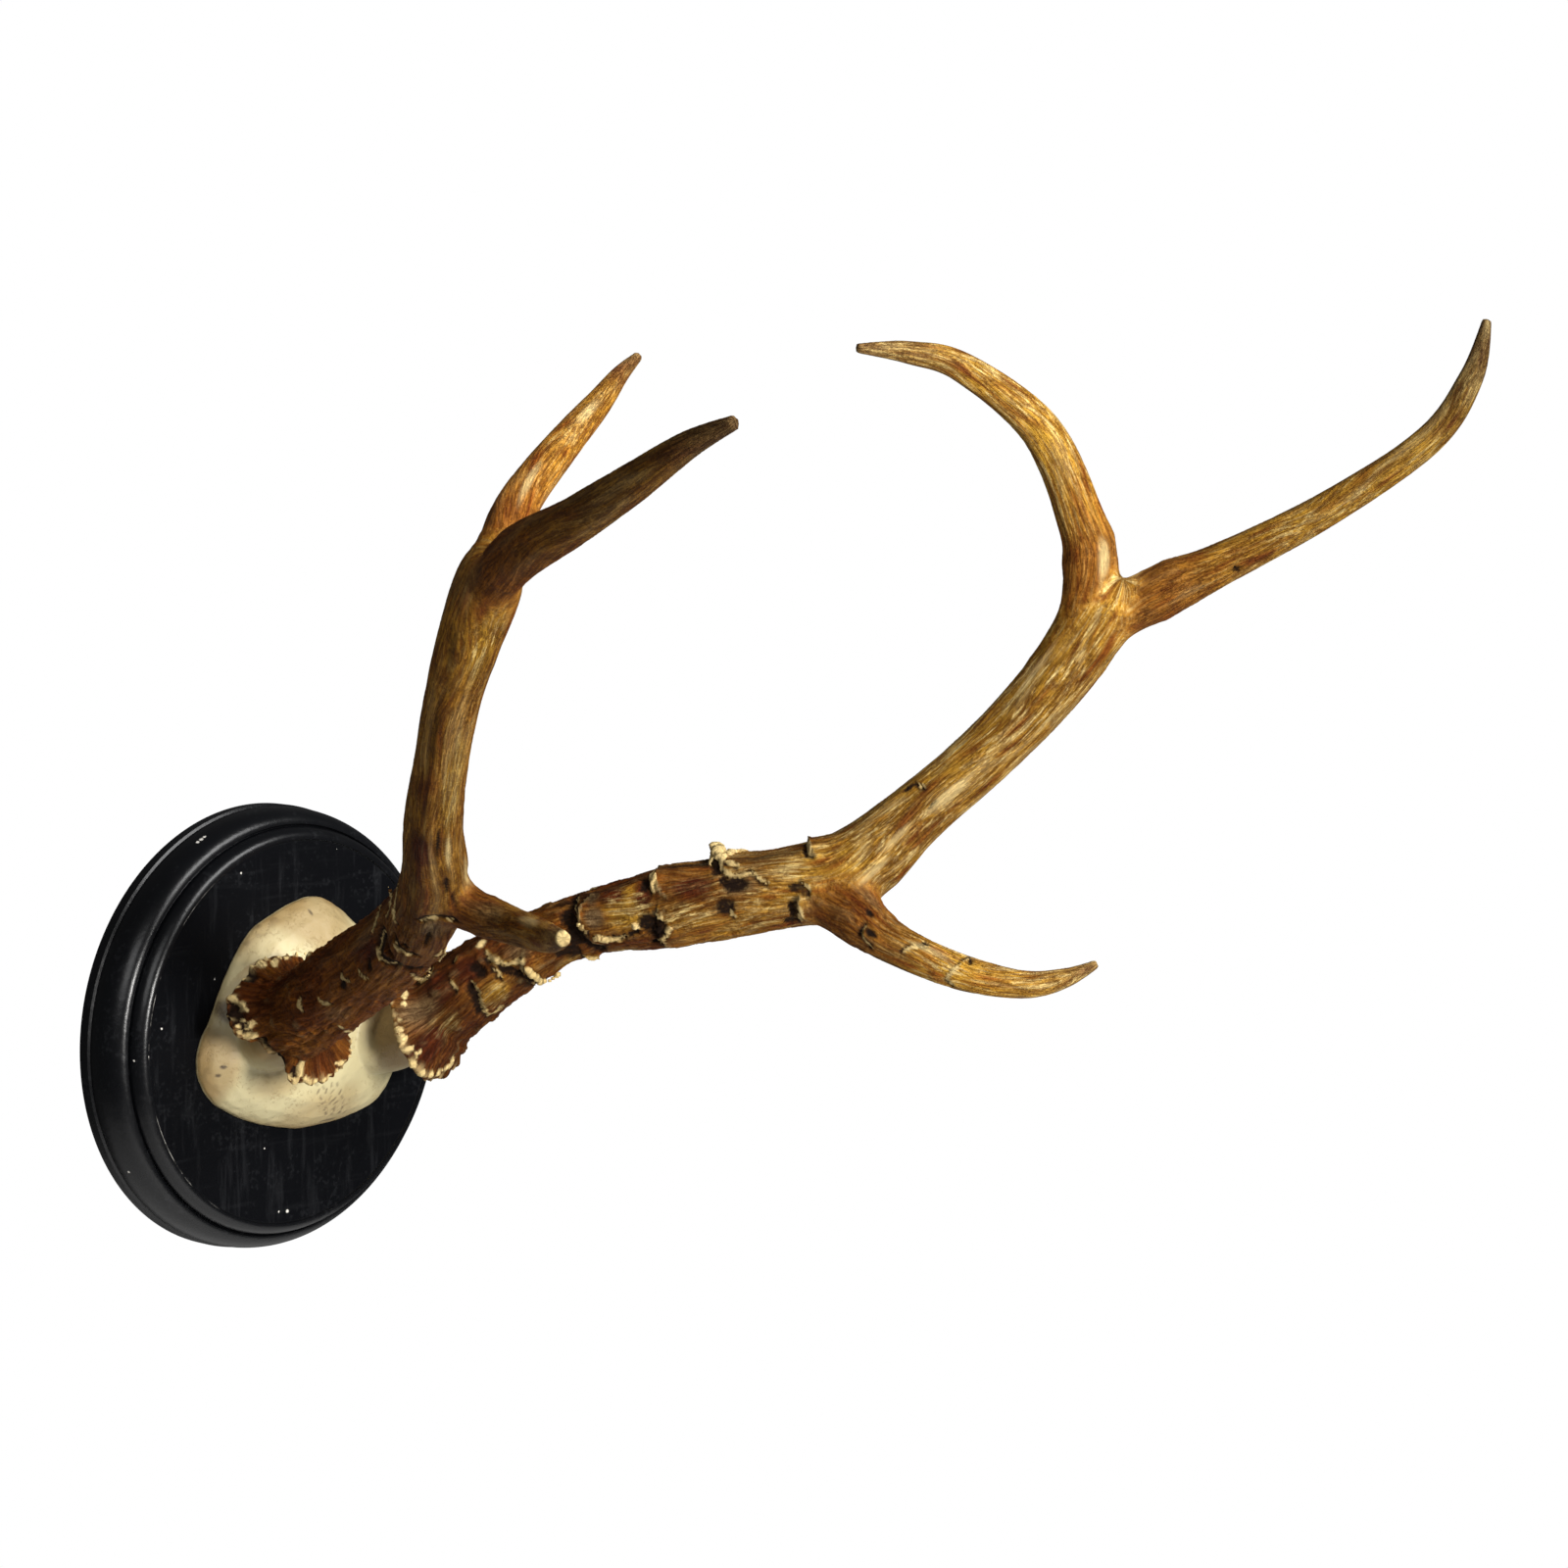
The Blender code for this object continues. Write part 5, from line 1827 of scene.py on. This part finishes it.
@dataclass
class SkullPlate:
    """The bleached skull cap with its two pedicles."""

    length: float = 0.088
    edge: float = 0.0045
    crown: float = 0.0190
    centre_rise: float = 0.0020
    pedicle_radius: float = 0.0125
    root_spread: float = 0.0220
    flare: float = 1.25
    voxel: float = 0.0006
    outline: tuple = (
        (0.000, 0.590),
        (0.110, 0.558),
        (0.235, 0.492),
        (0.345, 0.412),
        (0.425, 0.285),
        (0.475, 0.160),
        (0.500, 0.072),
        (0.518, 0.020),
        (0.556, -0.060),
        (0.560, -0.150),
        (0.522, -0.240),
        (0.440, -0.315),
        (0.310, -0.365),
        (0.160, -0.398),
        (0.000, -0.415),
    )
    strokes_from: tuple = (-0.0060, -0.0175)
    stroke_rows: int = 6
    stroke_columns: int = 4
    row_step: tuple = (0.0021, -0.0026)
    column_step: tuple = (0.0036, -0.0006)
    stroke_half: float = 0.0007
    stroke_seed: int = 23
    seed: int = 71
    stains_and_shade: tuple = (
        StainOrShade(-0.0470, -0.0070, 0.0080, 0.0170, 0.75),
        # painted shade: a square patch of brownish shade below the left pedicle
        StainOrShade(-0.0240, -0.0130, 0.0120, 0.0080, 0.55),
        StainOrShade(0.0000, 0.0440, 0.0240, 0.0120, 0.75),
        StainOrShade(0.0040, -0.0330, 0.0240, 0.0150, 0.55),
        StainOrShade(-0.0250, 0.0330, 0.0080, 0.0140, 0.30),
        StainOrShade(0.0230, -0.0020, 0.0070, 0.0160, 0.45),
        # painted shade in the hollow under the left burr
        StainOrShade(-0.0400, 0.0130, 0.0035, 0.0045, 0.80, True),
        StainOrShade(-0.0452, -0.0064, 0.0011, 0.0007, 1.00, True),
        StainOrShade(-0.0464, -0.0095, 0.0009, 0.0008, 0.90, True),
        StainOrShade(-0.0006, 0.0464, 0.0006, 0.0014, 0.80, True),
        StainOrShade(0.0090, -0.0340, 0.0050, 0.0006, 0.70, True),
    )

    def build(self) -> bpy.types.Object:
        """Model the skull plate.

        Returns:
            The finished mesh with its masks.
        """
        clay = Clay()
        self.add_dome(clay)
        for side in Side:
            self.add_pedicle(clay, side)
        piece = clay.fuse("skull_plate_bone", self.voxel, 3)
        self.wear(piece.data)
        cut_flat(piece, np.array([0.0, -(FIELD_HEIGHT + PART_GAP), 0.0]), np.array([0.0, 1.0, 0.0]))
        for side in Side:
            axis = seat_axis(side)
            cut_flat(piece, seat_centre(side) - axis * (PART_GAP / 2), axis)
        piece.data.shade_smooth()
        return piece

    def rim(self, count: int) -> np.ndarray:
        """Give points round the plate's outline, before its tilt."""
        half = list(self.outline)
        closed = half + [(-x, z) for x, z in reversed(half[1:-1])]
        looped = np.array(closed[-1:] + closed + closed[:2])
        place = 1.0 + np.arange(count) / count * len(closed)
        return spline(looped, place) * self.length

    def add_dome(self, clay: Clay) -> None:
        """Add the domed cap from its outline up to its crown."""
        rim = self.rim(160)
        base = -(FIELD_HEIGHT + PART_GAP)
        centre = np.array([0.0, self.centre_rise])
        levels = (
            (1.00, -0.30),
            (1.00, 0.12),
            (0.985, 0.20),
            (0.95, 0.34),
            (0.86, 0.56),
            (0.70, 0.78),
            (0.45, 0.94),
            (0.20, 0.99),
        )
        rings = []
        for spread, height in levels:
            flat = centre + (rim - centre) * spread
            rings.append(np.array([tilted((x, base - height * self.crown, z)) for x, z in flat]))
        below = tilted((centre[0], base + 0.30 * self.crown, centre[1]))
        above = tilted((centre[0], base - self.crown, centre[1]))
        clay.add_stack(rings, below, above)

    def add_pedicle(self, clay: Clay, side: Side) -> None:
        """Add one pedicle from inside the cap to just past its antler's seat."""
        top, axis = seat_centre(side), seat_axis(side)
        foot = tilted((side.value * self.root_spread, -(FIELD_HEIGHT + self.edge), 0.0))
        handle = top - axis * (np.linalg.norm(top - foot) * 0.45)
        ends = np.array([foot, foot + (handle - foot) * 0.55, handle, top + axis * 0.004])
        widths = self.pedicle_radius * np.array([self.flare, 1.15, 1.0, 1.05])
        places = np.linspace(0.0, 3.0, 31)
        middles, radii = spline(ends, places), spline(widths, places)
        tangents = unit(np.gradient(middles, axis=0))
        turns = np.linspace(0.0, math.tau, 60, endpoint=False)
        rings = []
        for middle, radius, tangent in zip(middles, radii, tangents):
            across = unit(np.cross(tangent, (0.0, 0.0, 1.0)))
            beside = np.cross(tangent, across)
            around = np.cos(turns)[:, None] * across + np.sin(turns)[:, None] * beside
            rings.append(middle + around * radius)
        clay.add_stack(rings, foot, middles[-1])

    def wear(self, mesh: bpy.types.Mesh) -> None:
        """Roughen the bone a little, scratch its rows of strokes and store the masks of its stains, its
        darkening near the base and its painted shade.
        """
        points, normals = read_points(mesh), read_normals(mesh)
        broad, fine = Noise(self.seed)(points * 70.0), Noise(self.seed + 1)(points * 260.0)
        height = -(FIELD_HEIGHT + points[:, 1])
        low = smooth(0.009, 0.001, height)
        # tan towards the base, where the plate meets the disc
        tan = low * smooth(-0.5, 0.5, broad + 0.3) * 0.55
        # painted shade on the pedicles just under each burr
        for side in Side:
            gap = np.abs((points - seat_centre(side)) @ seat_axis(side))
            near = np.linalg.norm(points - seat_centre(side), axis=1) < 0.03
            tan += smooth(0.024, 0.006, gap) * near * 0.75
        # darker still towards the base
        grime_and_shade = low * smooth(0.15, 0.6, fine + 0.5 * broad) * 0.5
        flat = points[:, (0, 2)]
        for stain_or_shade in self.stains_and_shade:
            away = (flat - (stain_or_shade.across, stain_or_shade.up)) / (stain_or_shade.half_width, stain_or_shade.half_height)
            wobble = 0.25 * (broad if stain_or_shade.half_width > 0.003 else fine)
            near = smooth(1.2, 0.5, np.linalg.norm(away, axis=1) + wobble) * (points[:, 1] < -0.026)
            if stain_or_shade.deep:
                grime_and_shade = np.maximum(grime_and_shade, near * stain_or_shade.amount)
            else:
                tan += near * stain_or_shade.amount
        strokes = self.stroke_mask(flat)
        grime_and_shade = np.maximum(grime_and_shade, strokes * 0.7)
        shape = broad * 0.00045 + fine * 0.00022 - strokes * 0.0002
        write_points(mesh, points + normals * shape[:, None])
        write_mask(mesh, "tan", np.clip(tan, 0.0, 1.0))
        write_mask(mesh, "grime_and_shade", np.clip(grime_and_shade, 0.0, 1.0))

    def stroke_mask(self, flat: np.ndarray) -> np.ndarray:
        """Give how much each point lies in the rows of shallow strokes, which aren't letters.

        Args:
            flat: the points' X and Z, one a row.

        Returns:
            The mask.
        """
        mask = np.zeros(len(flat))
        draw = np.random.default_rng(self.stroke_seed)
        for row in range(self.stroke_rows):
            for column in range(self.stroke_columns):
                middle = np.array(self.strokes_from) + np.array(self.row_step) * row
                middle = middle + np.array(self.column_step) * column + draw.normal(size=2) * 0.0004
                lean = draw.uniform(-1.2, 1.2)
                way = np.array([math.sin(lean), math.cos(lean)])
                away = flat - middle
                along = np.clip(away @ way, -self.stroke_half, self.stroke_half)
                gap = np.linalg.norm(away - along[:, None] * way, axis=1)
                mask = np.maximum(mask, smooth(0.0007, 0.0002, gap) * draw.uniform(0.5, 1.0))
        return mask


@dataclass
class Disc:
    """The turned and ebonised wooden disc with its flat back on the wall."""

    radius: float = 0.085
    steps: int = 384
    back_ease: float = 0.0010
    rim_wall: float = 0.0052
    quirk: float = 0.0006
    groove_radius: float = 0.0786
    roll_crown: float = 0.0198
    groove_drop: float = 0.0008
    bead_set_in: float = 0.0009
    field_radius: float = 0.0729
    bead_proud: float = 0.0006

    def arc(self, centre: tuple, half: tuple, start: float, end: float, count: int) -> list:
        """Give points along an ellipse's arc, as radius and height, by angles in degrees."""
        turns = np.radians(np.linspace(start, end, count + 1))
        return [(centre[0] + half[0] * math.cos(t), centre[1] + half[1] * math.sin(t)) for t in turns]

    def profile(self) -> list:
        """Give the turned profile as radius and height, from the middle of the front to the back."""
        bead_foot = self.groove_radius - self.bead_set_in
        crown = FIELD_HEIGHT + self.bead_proud
        floor = self.roll_crown - self.groove_drop
        width = (bead_foot - self.field_radius) * 0.85
        roll_foot = self.rim_wall + self.quirk
        half = (self.roll_crown - roll_foot) * 0.78
        centre = self.roll_crown - half
        start = -math.degrees(math.asin(min(1.0, (centre - roll_foot) / half)))
        reach = self.radius - self.quirk - self.groove_radius
        points = [(share * self.field_radius, FIELD_HEIGHT) for share in np.linspace(0.0, 1.0, 40)]
        points += [(self.field_radius + self.bead_proud / 2, crown)]
        points += self.arc((bead_foot - width, floor), (width, crown - floor), 90.0, 0.0, 12)
        points += [((bead_foot + self.groove_radius) / 2, floor - self.groove_drop / 2)]
        points += self.arc((self.groove_radius, centre), (reach, half), 90.0, start, 22)
        points += [(self.radius, self.rim_wall), (self.radius, self.back_ease)]
        points += [(self.radius - self.back_ease, 0.0), (self.radius * 0.5, 0.0), (0.0, 0.0)]
        return points

    def build(self) -> bpy.types.Object:
        """Turn the disc.

        Returns:
            The finished mesh.
        """
        mesh = bpy.data.meshes.new("plaque_turned")
        points = [(radius, -height, 0.0) for radius, height in self.profile()]
        mesh.from_pydata(points, [(index, index + 1) for index in range(len(points) - 1)], [])
        piece = bpy.data.objects.new("plaque_turned", mesh)
        bpy.context.scene.collection.objects.link(piece)
        take_up(piece)
        bpy.ops.object.mode_set(mode="EDIT")
        bpy.ops.mesh.select_all(action="SELECT")
        bpy.ops.mesh.spin(steps=self.steps, angle=math.tau, center=(0.0, 0.0, 0.0), axis=(0.0, 1.0, 0.0))
        bpy.ops.mesh.select_all(action="SELECT")
        bpy.ops.mesh.remove_doubles(threshold=0.00002)
        bpy.ops.mesh.normals_make_consistent(inside=False)
        bpy.ops.object.mode_set(mode="OBJECT")
        piece.data.shade_smooth()
        piece.data.set_sharp_from_angle(angle=math.radians(40.0))
        return piece


@dataclass
class Studio:
    """The camera at the photograph's angle, a plain pale floor and plain soft light."""

    place: tuple = (-0.8892, -0.9678, 0.2254)
    azimuth: float = math.radians(-51.43)
    height: float = math.radians(5.71)
    roll: float = math.radians(0.90)
    lens: float = 78.8
    floor_level: float = -1.20
    floor_size: float = 3.0
    room_light: float = 0.06

    def build(self) -> None:
        """Set up camera, floor, world and lights."""
        self.add_camera()
        self.add_floor()
        self.add_world()
        self.add_light("key_light", (-0.40, -2.00, 0.32), (0.35, 0.50), 55.0, (1.0, 0.98, 0.95))
        self.add_light("top_light", (0.35, -1.40, 1.35), (1.30, 0.80), 34.0, (1.0, 1.0, 1.0))
        self.add_light("left_light", (-1.70, -0.80, 0.95), (1.00, 0.90), 10.0, (1.0, 1.0, 1.0))
        settings = bpy.context.scene.view_settings
        settings.view_transform = "Standard"
        settings.look = "None"

    def add_camera(self) -> None:
        """Place the camera by its own right, up and back directions."""
        back = Vector(
            (
                math.sin(self.azimuth) * math.cos(self.height),
                -math.cos(self.azimuth) * math.cos(self.height),
                math.sin(self.height),
            )
        )
        right = Vector((math.cos(self.azimuth), math.sin(self.azimuth), 0.0))
        up = back.cross(right)
        rolled_right = right * math.cos(self.roll) + up * math.sin(self.roll)
        rolled_up = up * math.cos(self.roll) - right * math.sin(self.roll)
        pose = Matrix((rolled_right, rolled_up, back)).transposed().to_4x4()
        pose.translation = Vector(self.place)
        data = bpy.data.cameras.new("photo_camera")
        data.lens = self.lens
        data.sensor_width = 36.0
        data.clip_start = 0.01
        camera = bpy.data.objects.new("photo_camera", data)
        camera.matrix_world = pose
        bpy.context.scene.collection.objects.link(camera)
        bpy.context.scene.camera = camera

    def add_floor(self) -> None:
        """Lay a plain pale floor well below the hanging disc."""
        deselect()
        bpy.ops.mesh.primitive_plane_add(size=self.floor_size, location=(0.0, -0.2, self.floor_level))
        floor = bpy.context.object
        floor.name = "floor"
        material, _, shader = new_material("pale_floor")
        shader.inputs["Base Color"].default_value = (0.92, 0.92, 0.92, 1.0)
        shader.inputs["Roughness"].default_value = 0.9
        floor.data.materials.append(material)

    def add_world(self) -> None:
        """Put a white backdrop behind the object and light the room evenly and softly."""
        world = bpy.data.worlds.new("pale_room")
        world.use_nodes = True
        graph = Graph(world.node_tree)
        background = world.node_tree.nodes["Background"]
        background.inputs["Color"].default_value = (1.0, 1.0, 1.0, 1.0)
        seen = graph.add("ShaderNodeLightPath", "seen straight on").outputs["Is Camera Ray"]
        strength = graph.math("ADD", graph.math("MULTIPLY", seen, 1.0 - self.room_light), self.room_light)
        graph.feed(background.inputs["Strength"], strength)
        bpy.context.scene.world = world

    def add_light(self, name: str, place: tuple, size: tuple, power: float, colour: tuple) -> None:
        """Hang a soft light of a width and a height that looks at the object."""
        data = bpy.data.lights.new(name, "AREA")
        data.shape = "RECTANGLE"
        data.size, data.size_y = size
        data.energy = power
        data.color = colour
        light = bpy.data.objects.new(name, data)
        light.location = place
        aim = Vector((0.0, -0.15, 0.08)) - Vector(place)
        light.rotation_euler = aim.to_track_quat("-Z", "Y").to_euler()
        bpy.context.scene.collection.objects.link(light)


def main() -> None:
    """Build and dress the disc, the skull plate and both antlers in the studio.

    The studio comes first, since the marks picked on the photograph are placed from its camera.
    """
    logging.basicConfig(level=logging.INFO, format="%(name)s: %(message)s")
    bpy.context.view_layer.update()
    Studio().build()
    specks = make_speckle_group()
    settle(Disc().build(), "plaque", LacquerFinish().material(specks))
    settle(SkullPlate().build(), "skull_plate", BoneFinish().material(specks))
    horn = AntlerFinish().material(specks)
    left_branches = Tracer(Side.LEFT, (LEFT_BEAM, LEFT_OUTER, LEFT_INNER, LEFT_LOW)).dress(LEFT_MARKS)
    left = Antler(Side.LEFT, left_branches, 11, gilding=0.55)
    settle(left.build(), "left_antler", horn)
    right_branches = Tracer(Side.RIGHT, (RIGHT_BEAM, RIGHT_OUTER, RIGHT_INNER, RIGHT_LOW)).dress(RIGHT_MARKS)
    right = Antler(Side.RIGHT, right_branches, 57)
    settle(right.build(), "right_antler", horn)


if __name__ == "__main__":
    main()
